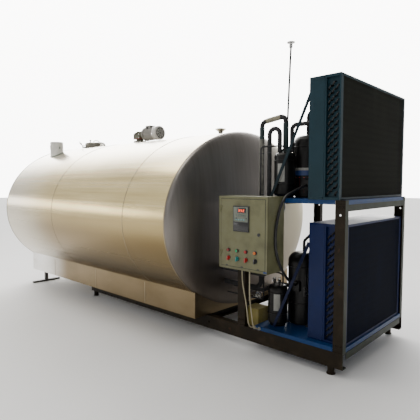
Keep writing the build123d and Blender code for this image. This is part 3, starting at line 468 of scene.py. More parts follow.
FINISHED_NODES = {
    "inner": ["inner_vessel", "evaporator_plate"],
    "foam": ["insulation"],
    "shell": ["shell_cladding"],
    "head": ["outer_heads"],
    "skirt": ["skirt_panels"],
    "fitting": ["saddles", "tank_nozzles"],
    "brown": ["base_frame", "support_feet", "rack_frame"],
    "rear_leg": ["rear_legs"],
    "tray": ["upper_tray", "lower_tray"],
    "dull_shaded": ["manhole_neck", "manhole_lid", "vent_cap"],
    "rubber": ["lid_gasket"],
    "polished": ["lid_swing_bolt", "outlet_valve", "outlet_valve_lever", "agitator_shaft"],
    "white": ["inlet_cup"],
    "gearbox": ["gearbox"],
    "motor": ["agitator_motor"],
    "fan_cover": ["motor_fan_cover"],
    "dark": [
        "motor_fan", "door_lock", "fan_lower_near", "fan_lower_far", "fan_upper_near",
        "fan_upper_far", "button_left", "button_right", "selector_knob_4",
    ],
    "black": ["fan_guards", "receivers", "compressor_lower", "compressor_upper"],
    "tube": ["pipes_upper", "pipes_lower"],
    "cabinet": ["cabinet_shell", "cabinet_door"],
    "grey": ["contactor_panel", "cable_glands"],
    "bezel": ["controller"],
    "dark_red": ["pilot_lights"],
    "yellow": ["junction_box"],
    "zinc": ["ceiling_hook"],
    "fins_lower": ["condenser_core_lower"],
    "fins_upper": ["condenser_core_upper"],
    "blue": ["condenser_casing_lower"],
    "teal": ["condenser_casing_upper"],
    "red": ["selector_knob_1", "selector_knob_3"],
    "teal_knob": ["selector_knob_2"],
    "black_cable": ["supply_cable", "compressor_cable"],
    "cream_cable": ["cabinet_cable_1", "cabinet_cable_2"],
}
for finish, nodes in FINISHED_NODES.items():
    for node in nodes:
        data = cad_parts[node].data
        data.materials.clear()
        data.materials.append(MATERIALS[finish].material)


# ---------- mesh helpers ----------
SHARP = math.radians(35.0)  # edges that turn more than this stay sharp


def axes_to(direction):
    """A rotation that turns +Z to the direction."""
    return Vector(direction).to_track_quat("Z", "Y").to_matrix().to_4x4()


class Piece:
    """One mesh built from many small solids."""

    def __init__(self):
        self.mesh = bmesh.new()

    def box(self, low, high, soft=0.0):
        low, high = Vector(low), Vector(high)
        size = Matrix.Diagonal((*(high - low), 1.0))
        made = bmesh.ops.create_cube(
            self.mesh, size=1.0, matrix=Matrix.Translation((low + high) / 2) @ size
        )
        if soft:
            edges = list({e for v in made["verts"] for e in v.link_edges})
            bmesh.ops.bevel(
                self.mesh, geom=edges, offset=soft, segments=2, affect="EDGES", profile=0.5
            )
        return self

    def bar(self, start, end, radius, sides=24, tip=None):
        """A round bar, or a cone when tip is its radius at the end."""
        start, end = Vector(start), Vector(end)
        along = end - start
        place = Matrix.Translation((start + end) / 2) @ axes_to(along)
        bmesh.ops.create_cone(
            self.mesh,
            cap_ends=True,
            segments=sides,
            radius1=radius,
            radius2=radius if tip is None else tip,
            depth=along.length,
            matrix=place,
        )
        return self

    def loft(self, rings):
        """Closes rings of vertices into one capped solid."""
        sides = len(rings[0])
        for lower, upper in zip(rings, rings[1:]):
            for k in range(sides):
                n = (k + 1) % sides
                self.mesh.faces.new((lower[k], lower[n], upper[n], upper[k]))
        self.mesh.faces.new(list(reversed(rings[0])))
        self.mesh.faces.new(rings[-1])
        return self

    def lathe(self, centre, direction, profile, sides=48):
        """A turned piece: profile is (radius, height) from its foot up."""
        place = Matrix.Translation(centre) @ axes_to(direction)
        rings = []
        for radius, height in profile:
            turn = [2 * math.pi * k / sides for k in range(sides)]
            spots = [Vector((radius * math.cos(t), radius * math.sin(t), height)) for t in turn]
            rings.append([self.mesh.verts.new(place @ s) for s in spots])
        return self.loft(rings)

    def bolt(self, place, direction, radius=0.008):
        """A washer and a chamfered hexagon head."""
        place, way = Vector(place), Vector(direction).normalized()
        self.bar(place, place + way * radius * 0.22, radius * 1.5, 20)
        self.bar(place + way * radius * 0.2, place + way * radius * 0.8, radius, 6)
        self.bar(
            place + way * radius * 0.8, place + way * radius * 0.95, radius, 6, radius * 0.82
        )
        return self

    def path(self, points, radius, sides=10):
        """A round tube through the points, with its ends closed."""
        points = [Vector(p) for p in points]
        rings = []
        side = None
        for k, point in enumerate(points):
            before, after = points[max(k - 1, 0)], points[min(k + 1, len(points) - 1)]
            along = (after - before).normalized()
            if side is None:
                side = along.orthogonal().normalized()
            side = (side - along * side.dot(along)).normalized()
            other = along.cross(side)
            turn = [2 * math.pi * n / sides for n in range(sides)]
            spots = [point + radius * (side * math.cos(t) + other * math.sin(t)) for t in turn]
            rings.append([self.mesh.verts.new(s) for s in spots])
        return self.loft(rings)

    def strip(self, x, width, grow, arc=(0.0, 2 * math.pi)):
        """A flat band round the shell at x, standing proud of it by grow."""
        steps = 160
        rings = []
        for dx, out in ((-width / 2, 0.0), (-width / 2, grow), (width / 2, grow), (width / 2, 0.0)):
            ring = []
            for k in range(steps + 1):
                t = arc[0] + (arc[1] - arc[0]) * k / steps
                y = (TANK_A + out) * math.cos(t)
                z = AXIS_Z + (TANK_B + out) * math.sin(t)
                ring.append(self.mesh.verts.new((x + dx, y, z)))
            rings.append(ring)
        for lower, upper in zip(rings, rings[1:]):
            for k in range(steps):
                self.mesh.faces.new((lower[k], upper[k], upper[k + 1], lower[k + 1]))
        return self

    def done(self, name, finish, body="tank"):
        """Turns the solids into an object that rides on a body."""
        bmesh.ops.recalc_face_normals(self.mesh, faces=self.mesh.faces)
        data = bpy.data.meshes.new(name)
        self.mesh.to_mesh(data)
        self.mesh.free()
        piece = placed(name, data)
        data.materials.append(MATERIALS[finish].material)
        data.polygons.foreach_set("use_smooth", [True] * len(data.polygons))
        data.set_sharp_from_angle(angle=SHARP)
        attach(piece, body)
        return piece


def shell_z(y):
    """Height of the shell's top at a distance from the centre plane."""
    return AXIS_Z + TANK_B * math.sqrt(1 - (y / TANK_A) ** 2)


def shell_ring(x, y, radius, out, steps=64):
    """A circle seen from above that lies on the shell's top, raised by out."""
    ring = []
    for k in range(steps + 1):
        t = 2 * math.pi * k / steps
        across = y + radius * math.sin(t)
        ring.append((x + radius * math.cos(t), across, shell_z(across) + out))
    return ring


def bow(x, y, z, reach, rise, steps, along="X"):
    """A half ellipse that stands upright on its two ends, along X or along Y."""
    points = []
    for k in range(steps + 1):
        t = math.pi * k / steps
        across, up = reach * math.cos(t), rise * math.sin(t)
        points.append((x - across, y, z + up) if along == "X" else (x, y + across, z + up))
    return points


def ridge(radius, proud, height, slope=0.001):
    """The lathe profile of a low turned ridge on a round part."""
    top = radius + proud
    return [(radius, 0), (top, slope), (top, height - slope), (radius, height)]


# ---------- tank ----------
def tank_seams():
    """The polished outer face of the cladding, with the welds between its sheets."""
    middle, length = (REAR_X + FRONT_X) / 2, FRONT_X - REAR_X
    skin = Piece()
    skin.strip(middle, length, 0.0012, arc=(math.radians(126), math.radians(414)))
    skin.done("shell_skin", "shell")
    seams = Piece()
    for x in SEAMS:
        seams.strip(x, 0.007, 0.0024)
    seams.done("shell_seams", "seam")
    edges = Piece()
    edges.strip(FRONT_X - 0.004, 0.010, 0.0030)
    edges.strip(REAR_X + 0.004, 0.010, 0.0030)
    edges.done("head_welds", "seam")


def skirt_details():
    """Joints and rivets of the skirt's near and far sides."""
    low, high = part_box("skirt_panels")
    trim = Piece()
    rivets = Piece()
    for y, way in ((low[1], -1), (high[1], 1)):
        for x in (-1.63, -0.62, 0.33):
            trim.box((x - 0.004, y - 0.002, low[2]), (x + 0.004, y + 0.002, high[2] - 0.02))
        for x in (low[0] + 0.02, -1.61, -0.60, 0.35, high[0] - 0.02):
            for z in (low[2] + 0.03, low[2] + 0.10, low[2] + 0.17):
                rivets.bar((x, y, z), (x, y + way * 0.003, z), 0.006, 16, 0.003)
    trim.done("skirt_joints", "seam")
    rivets.done("skirt_rivets", "skirt")


def manhole_details():
    """Weld round the neck, the lid's knob and handle, and the stays beside it."""
    x = MANHOLE_X
    weld = Piece()
    weld.path(shell_ring(x, 0.0, NECK_R, 0.001), 0.004, 8)
    weld.done("neck_weld", "weld")
    knob = Piece()
    knob.lathe(
        (x - 0.060, -0.03, LID_TOP),
        (0, 0, 1),
        [(0.018, 0), (0.018, 0.006), (0.007, 0.010), (0.007, 0.026)],
    )
    knob.lathe(
        (x - 0.060, -0.03, LID_TOP + 0.023),
        (0, 0, 1),
        [(0.004, 0), (0.015, 0.004), (0.016, 0.010), (0.011, 0.017), (0.003, 0.019)],
    )
    knob.done("lid_knob", "dark", "manhole_lid")
    handle = Piece()
    handle.path(bow(x + 0.060, 0.0, LID_TOP, 0.050, 0.026, 16, "Y"), 0.006, 12)
    handle.done("lid_handle", "polished", "manhole_lid")
    stay = Piece()
    stay.path(bow(x + 0.225, 0.0, 1.972, 0.070, 0.062, 12), 0.008, 12)
    post_x, post_y, post_top = x - 0.200, -0.02, 2.038
    stay.bar((post_x, post_y, 1.962), (post_x, post_y, post_top), 0.008)
    stay.lathe(
        (post_x, post_y, post_top - 0.004),
        (0, 0, 1),
        [(0.005, 0), (0.018, 0.004), (0.019, 0.011), (0.012, 0.019), (0.003, 0.021)],
    )
    stay.box((post_x - 0.022, -0.045, 1.964), (post_x + 0.022, 0.005, 1.972), 0.002)
    stay.done("manhole_stays", "polished")


def agitator_details():
    """Gearbox bolts, the motor's terminal box, and the ring and grille of its fan cover."""
    x0 = AGITATOR_X
    bolt_z = (2.086, 2.036)
    bolts = Piece()
    for z in bolt_z:
        for y in (-0.044, 0.044):
            bolts.bolt((x0 - 0.065, y, z), (-1, 0, 0), 0.006)
        for side in (-1, 1):
            for dx in (-0.048, 0.048):
                bolts.bolt((x0 + dx, side * 0.058, z), (0, side, 0), 0.006)
    bolts.done("gearbox_bolts", "zinc")
    underside = Piece()
    underside.box((x0 - 0.067, -0.060, 2.0235), (x0 + 0.067, 0.060, 2.034), 0.003)
    underside.done("gearbox_base", "maroon")
    lid = Piece()
    lid.box((-0.561, -0.049, 2.165), (-0.469, 0.049, 2.181), 0.003)
    for x in (-0.552, -0.478):
        for y in (-0.040, 0.040):
            lid.bar((x, y, 2.180), (x, y, 2.184), 0.004, 12)
    lid.done("motor_box_lid", "motor")
    gland = Piece()
    x, z = -0.515, 2.150
    gland.bar((x, -0.048, z), (x, -0.060, z), 0.011, 6)
    gland.bar((x, -0.060, z), (x, -0.068, z), 0.008, 20)
    gland.done("motor_gland", "dark")
    band = Piece()
    band.lathe((-0.398, 0, MOTOR_Z), (1, 0, 0), [(0.0878, 0), (0.0890, 0.003), (0.0878, 0.012)])
    band.done("fan_cover_ring", "polished")
    shade = Piece()
    shade.bar((FAN_FACE - 0.0004, 0, MOTOR_Z), (FAN_FACE + 0.0006, 0, MOTOR_Z), 0.070, 40)
    shade.done("fan_grille_shade", "dark")
    grille = Piece()
    face, wire, outer, hub = FAN_FACE + 0.001, 0.0028, 0.070, 0.28
    for radius in (0.020, 0.046, outer):
        turn = [2 * math.pi * k / 40 for k in range(41)]
        ring = [(face, radius * math.cos(t), MOTOR_Z + radius * math.sin(t)) for t in turn]
        grille.path(ring, wire, 8)
    for k in range(8):
        t = math.pi * k / 4
        y, z = outer * math.cos(t), outer * math.sin(t)
        grille.bar((face, y * hub, MOTOR_Z + z * hub), (face, y, MOTOR_Z + z), wire, 8)
    grille.done("fan_grille", "fan_cover")


def cup_details():
    """Rim line, latch and moulded ridges of the plastic cup."""
    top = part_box("inlet_cup")[1][2]
    x, y = INLET_X, INLET_Y
    ridges = Piece()
    for z in (top - 0.022, top - 0.045):
        ridges.lathe((x, y, z), (0, 0, 1), ridge(0.088, 0.0015, 0.005))
    ridges.done("cup_ridges", "white", "inlet_cup")
    rim = Piece()
    rim.path(shell_ring(x, y, CUP_R, 0.006), 0.0042, 8)
    rim.done("cup_rim", "rim", "inlet_cup")
    latch = Piece()
    latch.box((x + 0.083, y - 0.012, 1.925), (x + 0.094, y + 0.004, 1.957), 0.003)
    latch.done("cup_latch", "rim", "inlet_cup")


def vent_details():
    """A turned rib on the vent's cap and the weld round its stem."""
    cap = Piece()
    cap.lathe((VENT_X, 0, 2.0325), (0, 0, 1), ridge(0.0600, 0.0018, 0.005))
    cap.done("vent_cap_rib", "polished", "vent_cap")
    weld = Piece()
    weld.path(shell_ring(VENT_X, 0.0, STEM_R, 0.001, 32), 0.003, 8)
    weld.done("vent_weld", "weld")


# ---------- condensers ----------
def hairpins(core, name, side, plate_finish):
    """One end of a coil: its end plate and the return bends, staggered through its depth."""
    low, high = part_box(core)
    face = low[1] if side < 0 else high[1]
    plate = Piece()
    ya, yb = sorted((face - side * 0.001, face + side * 0.001))
    plate.box((low[0] - 0.060, ya, low[2] + 0.001), (high[0] - 0.001, yb, high[2] - 0.001))
    plate.done(f"{name}_plate", plate_finish)
    bends = Piece()
    pitch, columns, apart = 0.0508, 3, 0.030
    rows = int((high[2] - low[2] - 0.06) / pitch)
    for row in range(rows):
        for column in range(columns):
            x = low[0] + 0.028 + column * apart
            z = low[2] + 0.045 + row * pitch + (pitch / 2 if column % 2 else 0.0)
            spots = []
            for k in range(11):
                t = math.pi * k / 10
                across = 0.5 * math.cos(t)
                out = face + side * (0.002 + 0.017 * math.sin(t))
                spots.append((x + 0.020 * across, out, z + 0.026 * across))
            bends.path(spots, 0.0062, 8)
    return bends.done(name, "black")


def casing_details(core, level, finish):
    """Turned edge strips and screws on the casing's near and far sides."""
    low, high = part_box(core)
    back, front = CASING_BACK[level], high[0]
    z0, z1 = low[2] - 0.004, high[2] + 0.004
    folds = Piece()
    for y, way in ((low[1] - 0.025, -1), (high[1] + 0.025, 1)):
        ya, yb = sorted((y, y + way * 0.0022))
        folds.box((low[0] - 0.012, ya, z0 + 0.002), (low[0] - 0.006, yb, z1 - 0.002))
        folds.box((back + 0.001, ya, z1 - 0.022), (front - 0.002, yb, z1 - 0.001), 0.0005)
        folds.box((back + 0.001, ya, z0 + 0.001), (front - 0.002, yb, z0 + 0.020), 0.0005)
        for k in range(5):
            z = z0 + 0.05 + (z1 - z0 - 0.1) * k / 4
            folds.bar((back + 0.018, y, z), (back + 0.018, y + way * 0.003, z), 0.006, 16, 0.004)
    folds.done(f"casing_{level}_folds", finish)


def face_frame(core, name, finish):
    """The casing's turned-in frame round the finned face."""
    low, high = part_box(core)
    rim = Piece()
    x0, x1 = high[0] - 0.001, high[0] + 0.002
    rim.box((x0, low[1] - 0.022, low[2]), (x1, low[1] + 0.010, high[2]))
    rim.box((x0, high[1] - 0.010, low[2]), (x1, high[1] + 0.022, high[2]))
    rim.box((x0, low[1], high[2] - 0.014), (x1, high[1], high[2]))
    rim.box((x0, low[1], low[2]), (x1, high[1], low[2] + 0.014))
    rim.done(name, finish)


# ---------- refrigeration ----------
def sleeves():
    """Taped and coloured lagging over parts of the upper pipes."""
    tape = Piece()
    tape.path([(1.625, -0.4379, 1.9829), (1.765, -0.4320, 2.0043)], 0.0222, 24)
    tape.done("tape_beige", "beige_tape")
    teal = Piece()
    teal.bar((*SUCTION_PIPE, 1.830), (*SUCTION_PIPE, 1.930), 0.0222, 28)
    teal.bar((*LAGGED_PIPE, 1.712), (*LAGGED_PIPE, 1.950), 0.0240, 28)
    teal.bar((*LAGGED_PIPE, 1.706), (*LAGGED_PIPE, 1.732), 0.0420, 28, 0.034)
    teal.done("lagging_teal", "teal_tube")
    pale = Piece()
    pale.bar((*SUCTION_PIPE, 1.345), (*SUCTION_PIPE, 1.829), 0.0215, 28)
    pale.done("tape_pale", "pale_tape")
    ties = Piece()
    for z in (0.80, 1.10, 1.70, 1.86):
        for pipe, radius in ((SUCTION_PIPE, 0.0225), (COLUMN_PIPE, 0.0193)):
            ties.lathe((*pipe, z), (0, 0, 1), ridge(radius, 0.001, 0.006))
    ties.done("pipe_ties", "dark")


def wrap(name, vessel, proud, heights, turns, finish, steps=20):
    """A thin label or paint band bent round an upright vessel; turns are in degrees."""
    (cx, cy), radius = VESSELS[vessel][:2]
    radius += proud
    piece = Piece()
    rows = []
    for z in heights:
        row = []
        for k in range(steps + 1):
            t = math.radians(turns[0] + (turns[1] - turns[0]) * k / steps)
            spot = (cx + radius * math.cos(t), cy + radius * math.sin(t), z)
            row.append(piece.mesh.verts.new(spot))
        rows.append(row)
    for k in range(steps):
        piece.mesh.faces.new((rows[0][k], rows[0][k + 1], rows[1][k + 1], rows[1][k]))
    piece.done(name, finish)


def weld_rings(vessel):
    """The two girth welds of an upright vessel."""
    centre, radius, foot, top = VESSELS[vessel]
    rings = Piece()
    for share in (0.30, 0.80):
        z = foot + (top - foot) * share
        rings.lathe((*centre, z), (0, 0, 1), ridge(radius, 0.0035, 0.011, 0.003))
    rings.done(f"{vessel}_rings", "black")


def refrigeration_details():
    """Welds, labels and bands on the vessels, valve nuts, and the compressors' feet."""
    for vessel in VESSELS:
        weld_rings(vessel)
    upper, lower, white = "compressor_upper", "compressor_lower", "white_plastic"
    most, around = (-150, 20), (-180, 180)
    wrap("upper_plate", upper, 0.0008, (1.508, 1.572), most, "label")
    wrap("upper_plate_blue", upper, 0.0012, (1.508, 1.550), most, "light_blue")
    wrap("upper_red_line", upper, 0.0008, (1.486, 1.493), around, "red")
    wrap("upper_dark_band", upper, 0.0006, (1.360, 1.480), around, "oxblood")
    for level, heights, turns in (
        ("upper", (1.455, 1.605), (-98, -58)),
        ("lower", (0.360, 0.505), (-80, -42)),
    ):
        vessel = f"receiver_{level}"
        wrap(f"{vessel}_label", vessel, 0.0006, heights, turns, "label")
    wrap("lower_plate", lower, 0.0008, (0.480, 0.560), (-60, 10), "smoked")
    valves = Piece()
    cx, cy = VESSELS["receiver_lower"][0]
    for x, y in ((cx - 0.034, cy), (cx + 0.022, cy - 0.008)):
        valves.bar((x, y, 0.617), (x, y, 0.628), 0.0105, 6)
        valves.bar((x, y - 0.012, 0.604), (x, y - 0.034, 0.604), 0.0075, 6)
    valves.done("receiver_valve_nuts", "zinc")
    feet = Piece()
    for vessel in (upper, lower):
        (cx, cy), _, z, _ = VESSELS[vessel]
        for k in range(4):
            t = math.radians(45 + 90 * k)
            x, y = cx + 0.132 * math.cos(t), cy + 0.132 * math.sin(t)
            feet.bar((x, y, z + 0.0005), (x, y, z + 0.014), 0.016, 24, 0.012)
            feet.bolt((x, y, z + 0.014), (0, 0, 1), 0.007)
    feet.done("compressor_feet", "rubber")


# ---------- rack ----------
def rack_details():
    """Bolts and welds of the rack's near side, and the plates under the feet."""
    bolts = Piece()
    for x in POST_X:
        for z in (0.235, 1.262):
            for dx in (0.022, 0.058):
                bolts.bolt((x + dx, -RACK_Y, z), (0, -1, 0), 0.007)
    for x in (0.2, 1.1):
        bolts.bolt((x, -RACK_Y, 0.125), (0, -1, 0), 0.010)
    for z in (0.79, 1.28):
        for x in (1.470, 1.515):
            bolts.bolt((x, -RACK_Y, z), (0, 1, 0), 0.006)
    bolts.done("rack_bolts", "brown")
    welds = Piece()
    for x in POST_X:
        for foot, crown, radius in ((0.186, 0.0015, 0.004), (1.286, -0.0015, 0.003)):
            ends, middle = (-RACK_Y - 0.0005, foot), (-RACK_Y - 0.0010, foot + crown)
            welds.path([(x, *ends), (x + POST_W / 2, *middle), (x + POST_W, *ends)], radius, 8)
    x0, x1 = POST_X[1] + 0.002, POST_X[1] + POST_W - 0.002
    for z in (0.465, 0.990):
        welds.box((x0, -RACK_Y - 0.0008, z), (x1, -RACK_Y + 0.0005, z + 0.007), 0.0004)
    welds.done("rack_welds", "brown")
    plates = Piece()
    for x in FOOT_X:
        for y in FOOT_Y:
            profile = [(0.034, 0), (0.034, 0.005), (0.028, 0.007)]
            plates.lathe((x, y, 0.0005), (0, 0, 1), profile, 32)
    plates.done("foot_plates", "brown")


# ---------- control cabinet ----------
def cabinet_details():
    """Folded edge, door gap, louvres, notches as dark patches of painted shade, blank tag and door
    gasket.
    """
    x0, x1, z0, z1 = *CAB_X, *CAB_Z
    edge = Piece()
    y0, y1, fold = CAB_FACE - 0.0015, CAB_FACE + 0.006, 0.005
    for low, high in (
        ((x0, y0, z0), (x0 + fold, y1, z1)),
        ((x1 - fold, y0, z0), (x1, y1, z1)),
        ((x0, y0, z1 - fold), (x1, y1, z1)),
        ((x0, y0, z0), (x1, y1, z0 + fold)),
    ):
        edge.box(low, high, 0.001)
    edge.done("cabinet_edge", "cabinet")
    gap = Piece()
    gx0, gx1, gz0, gz1 = *DOOR_X, *DOOR_Z
    y0, y1 = CAB_FACE - 0.0006, CAB_FACE
    for low, high in (
        ((gx0 - 0.004, y0, gz0 - 0.003), (gx0, y1, gz1 + 0.003)),
        ((gx1, y0, gz0 - 0.003), (gx1 + 0.004, y1, gz1 + 0.003)),
        ((gx0, y0, gz1), (gx1, y1, gz1 + 0.004)),
        ((gx0, y0, gz0 - 0.004), (gx1, y1, gz0)),
    ):
        gap.box(low, high)
    gap.done("door_gap", "rubber")
    vents = Piece()
    for k in range(6):
        z = z1 - 0.14 - 0.016 * k
        vents.box((x1 - 0.001, -0.800, z), (x1 + 0.003, -0.690, z + 0.006), 0.001)
    vents.done("cabinet_louvres", "cabinet")
    # Painted shade: dark patches stand for the shaded hollows of the notches.
    notches = Piece()
    for x in (1.52, 1.68, 1.84):
        low = (x - 0.011, DOOR_FRONT - 0.0012, 0.7615)
        notches.box(low, (x + 0.011, DOOR_FRONT + 0.001, 0.7695))
    notches.done("door_notch_shade", "dark", "cabinet_door")
    tag = Piece()
    tag.box((1.890, -0.8472, 0.741), (1.925, -0.8455, 0.757))
    tag.done("cabinet_tag", "light_blue")
    gasket = Piece()
    inset, y = 0.005, -0.8355
    gx0, gx1, gz0, gz1 = gx0 + inset, gx1 - inset, gz0 + inset, gz1 - inset
    corners = [(gx0, gz0), (gx1, gz0), (gx1, gz1), (gx0, gz1), (gx0, gz0)]
    gasket.path([(x, y, z) for x, z in corners], 0.003, 8)
    gasket.done("door_gasket", "rubber", "cabinet_door")


SEGMENTS = {
    "2": "abged",
    "3": "abgcd",
    "5": "afgcd",
}  # the lit segments of each figure


def digit(piece, x, z, figure, y, height=0.018):
    """One seven-segment figure facing -Y."""
    w, t = height * 0.5, height * 0.11
    middle, top = z + height / 2, z + height
    bars = {
        "a": ((x, top - t), (x + w, top)),
        "g": ((x, middle - t / 2), (x + w, middle + t / 2)),
        "d": ((x, z), (x + w, z + t)),
        "f": ((x, middle), (x + t, top)),
        "b": ((x + w - t, middle), (x + w, top)),
        "e": ((x, z), (x + t, middle)),
        "c": ((x + w - t, z), (x + w, middle)),
    }
    for segment in SEGMENTS[figure]:
        (ax, az), (bx, bz) = bars[segment]
        piece.box((ax, y - 0.0004, az), (bx, y, bz))


def controller_details():
    """The controller's panel, screens, figures, key marks and cover edge, all without text."""
    y = DOOR_FRONT - 0.010
    x0, x1 = CONTROLLER_X
    panel = Piece()
    panel.box((x0, y - 0.0006, 1.132), (x1, y + 0.001, 1.252), 0.0004)
    panel.done("controller_panel", "keypad", "cabinet_door")
    screen = Piece()
    screen.box((1.636, y - 0.0010, 1.204), (1.728, y + 0.001, 1.244), 0.0004)
    screen.box((x0, y - 0.0008, 1.060), (x1, y + 0.001, 1.126), 0.0004)
    screen.done("controller_screens", "smoked", "cabinet_door")
    figures = Piece()
    for x, figure in zip((1.652, 1.674, 1.696), "352"):
        digit(figures, x, 1.2145, figure, y - 0.0011)
    figures.done("display_figures", "digit", "cabinet_door")
    marks = Piece()
    for k in range(4):
        x = 1.634 + 0.024 * k
        marks.box((x, y - 0.0006, 1.183), (x + 0.014, y + 0.001, 1.189))
    for k in range(4):
        x = 1.626 + 0.026 * k
        marks.bar((x, y + 0.001, 1.150), (x, y - 0.0008, 1.150), 0.005, 20)
    marks.done("controller_marks", "cyan", "cabinet_door")
    hinge = Piece()
    hinge.box((x0, y - 0.0016, 1.1262), (x1, y, 1.1318), 0.0006)
    hinge.done("controller_cover_edge", "bezel", "cabinet_door")


def switch_details():
    """Lens, collar and blank plate of each lamp; plate, ring and pointer of each knob."""
    lens_profile = [(0.0122, 0), (0.0120, 0.003), (0.0095, 0.0060), (0.0050, 0.0078), (0.0010, 0.0083)]
    collar_profile = [(0.0165, 0), (0.0165, 0.003), (0.0150, 0.0050), (0.0130, 0.0052)]
    ring_profile = [(0.0195, 0), (0.0195, 0.0012), (0.0185, 0.0018), (0.0165, 0.0019)]
    out, thick = (0, -1, 0), 0.0008
    y0, y1, seat = DOOR_FRONT - thick, DOOR_FRONT + thick, DOOR_FRONT - 0.0002
    for k, (x, finish) in enumerate(zip(SWITCH_X, ("dark_red", "green", "red", "orange")), 1):
        lens = Piece()
        lens.lathe((x, DOOR_FRONT - 0.0148, LAMP_Z), out, lens_profile)
        lens.done(f"lamp_lens_{k}", finish, "cabinet_door")
        plate = Piece()
        plate.box((x - 0.018, y0, LAMP_Z + 0.0195), (x + 0.020, y1, LAMP_Z + 0.0285))
        plate.box((x - 0.020, y0, KNOB_Z - 0.0325), (x + 0.020, y1, KNOB_Z - 0.0225))
        plate.done(f"switch_plate_{k}", "cabinet", "cabinet_door")
        collar = Piece()
        collar.lathe((x, seat, LAMP_Z), out, collar_profile)
        collar.done(f"lamp_collar_{k}", "dark", "cabinet_door")
        back = Piece()
        back.lathe((x, seat, KNOB_Z), out, ring_profile)
        back.done(f"knob_back_{k}", "dark", "cabinet_door")
        pointer = Piece()
        low = (x - 0.0012, DOOR_FRONT - 0.0246, KNOB_Z)
        pointer.box(low, (x + 0.0012, DOOR_FRONT - 0.0238, KNOB_Z + 0.013))
        pointer.done(f"knob_pointer_{k}", "label", f"selector_knob_{k}")


# ---------- cables ----------
def cable(name, node, route, diameter, length, finish, slot, **facts):
    """A free cable on one smooth line through its route."""
    curve = bpy.data.curves.new(name, "CURVE")
    curve.dimensions = "3D"
    curve.bevel_depth = diameter / 2
    curve.bevel_resolution = 5
    curve.use_fill_caps = True
    spline = curve.splines.new("NURBS")
    spline.points.add(len(route) - 1)
    for point, place in zip(spline.points, route):
        point.co = (*place, 1.0)
    spline.order_u = 3
    spline.use_endpoint_u = True
    spline.resolution_u = 10
    curve.materials.append(MATERIALS[finish].material)
    piece = placed(name, curve)
    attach(piece, "tank")
    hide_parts(node)


def cables():
    """The supply cable rises to its ceiling fitting; the rest run between parts."""
    cable(
        "supply_lead", "supply_cable", SUPPLY_ROUTE, 0.017, 1.271,
        "black_cable", "cable_black", far_end="fitting", stiffness="stiff", lay="taut",
        with_pieces=["ceiling_hook"],
    )
    cable(
        "compressor_lead", "compressor_cable", COMPRESSOR_ROUTE, 0.022, 1.190,
        "black_cable", "cable_black", far_end="object", stiffness="stiff", lay="hanging",
    )
    for k, route in enumerate((CABLE_1_ROUTE, CABLE_2_ROUTE), 1):
        cable(
            f"cabinet_lead_{k}", f"cabinet_cable_{k}", route, 0.010, 0.560,
            "cream_cable", "cable_cream", far_end="object", stiffness="medium", lay="hanging",
        )


# ---------- studio ----------
CAMERA_PLACE = (3.778, -3.473, 1.443)
CAMERA_TILT, CAMERA_TURN = 3.667, 43.04  # degrees below the horizon and from the Y axis
CAMERA_LENS = 35.88
BEHIND = (-0.682, 0.731, 0.0)  # the way the camera looks, on the level
WHITE, WARM, COOL = (1.0, 0.98, 0.95), (1.0, 0.97, 0.90), (0.97, 0.99, 1.0)


def floor():
    mesh = bmesh.new()
    bmesh.ops.create_grid(mesh, x_segments=1, y_segments=1, size=40)
    data = bpy.data.meshes.new("floor")
    mesh.to_mesh(data)
    mesh.free()
    piece = placed("floor", data)
    finish = Finish("floor", (0.92, 0.92, 0.92), 0.8)
    finish.paint(finish.ramp(finish.noise(0.6, 2.0), [(0.3, 0.91), (0.7, 0.94)]))
    data.materials.append(finish.material)


def area_light(name, place, target, size, power, colour):
    data = bpy.data.lights.new(name, "AREA")
    data.shape = "RECTANGLE"
    data.size, data.size_y = size
    data.energy = power
    data.color = colour
    lamp = placed(name, data)
    lamp.location = place
    lamp.rotation_euler = (Vector(target) - Vector(place)).to_track_quat("-Z", "Y").to_euler()


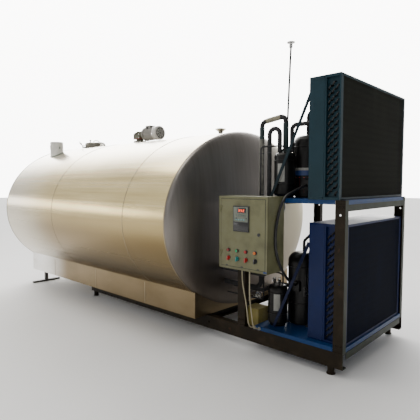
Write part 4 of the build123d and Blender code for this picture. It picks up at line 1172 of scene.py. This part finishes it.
def studio():
    """The surround: bright behind the tank, dimmer to the front and beyond the rack."""
    world = bpy.data.worlds.new("studio")
    bpy.context.scene.world = world
    world.use_nodes = True
    tree = world.node_tree
    place = tree.nodes.new("ShaderNodeTexCoord").outputs["Generated"]
    way = tree.nodes.new("ShaderNodeSeparateXYZ")
    tree.links.new(place, way.inputs[0])
    height = tree.nodes.new("ShaderNodeValToRGB")
    stops = ((0.0, 0.70), (0.46, 0.85), (0.60, 0.74), (0.82, 0.46), (0.95, 0.62))
    fill_ramp(height.color_ramp, [(p, (v, v * 0.985, v * 0.96)) for p, v in stops])
    tree.links.new(way.outputs["Z"], height.inputs["Fac"])
    side = map_range(tree, way.outputs["X"], (0.05, 0.55), (1.0, 0.22))
    behind = tree.nodes.new("ShaderNodeVectorMath")
    behind.operation = "DOT_PRODUCT"
    behind.inputs[1].default_value = BEHIND
    tree.links.new(place, behind.inputs[0])
    glow = map_range(tree, behind.outputs["Value"], (0.55, 0.80), (0.0, 12.0))
    total = tree.nodes.new("ShaderNodeMath")
    total.operation = "ADD"
    tree.links.new(side, total.inputs[0])
    tree.links.new(glow, total.inputs[1])
    tree.links.new(height.outputs["Color"], tree.nodes["Background"].inputs["Color"])
    tree.links.new(total.outputs["Value"], tree.nodes["Background"].inputs["Strength"])
    area_light("overhead", (-1.0, -1.5, 6.0), (-0.6, 0.0, 1.0), (7.0, 2.2), 190, WARM)
    area_light("window", (-7.5, -5.2, 1.9), (-1.2, 0.0, 1.1), (5.0, 1.0), 70, WHITE)
    area_light("rack_fill", (5.5, -4.5, 3.4), (1.9, 0.0, 1.1), (2.5, 2.5), 30, COOL)


def camera():
    """At the photograph's viewing angle, a little under eye height."""
    data = bpy.data.cameras.new("camera")
    data.sensor_fit = "HORIZONTAL"
    data.sensor_width = 36.0
    data.lens = CAMERA_LENS
    view = placed("camera", data)
    view.location = CAMERA_PLACE
    view.rotation_euler = (math.radians(90 - CAMERA_TILT), 0.0, math.radians(CAMERA_TURN))
    bpy.context.scene.camera = view


tank_seams()
skirt_details()
manhole_details()
agitator_details()
cup_details()
vent_details()
for level, paint_name in (("lower", "blue"), ("upper", "teal")):
    core = f"condenser_core_{level}"
    hairpins(core, f"hairpins_{level}_near", -1, paint_name)
    hairpins(core, f"hairpins_{level}_far", 1, paint_name)
    casing_details(core, level, paint_name)
    face_frame(core, f"face_frame_{level}", paint_name)
sleeves()
refrigeration_details()
rack_details()
cabinet_details()
controller_details()
switch_details()
cables()
floor()
studio()
camera()
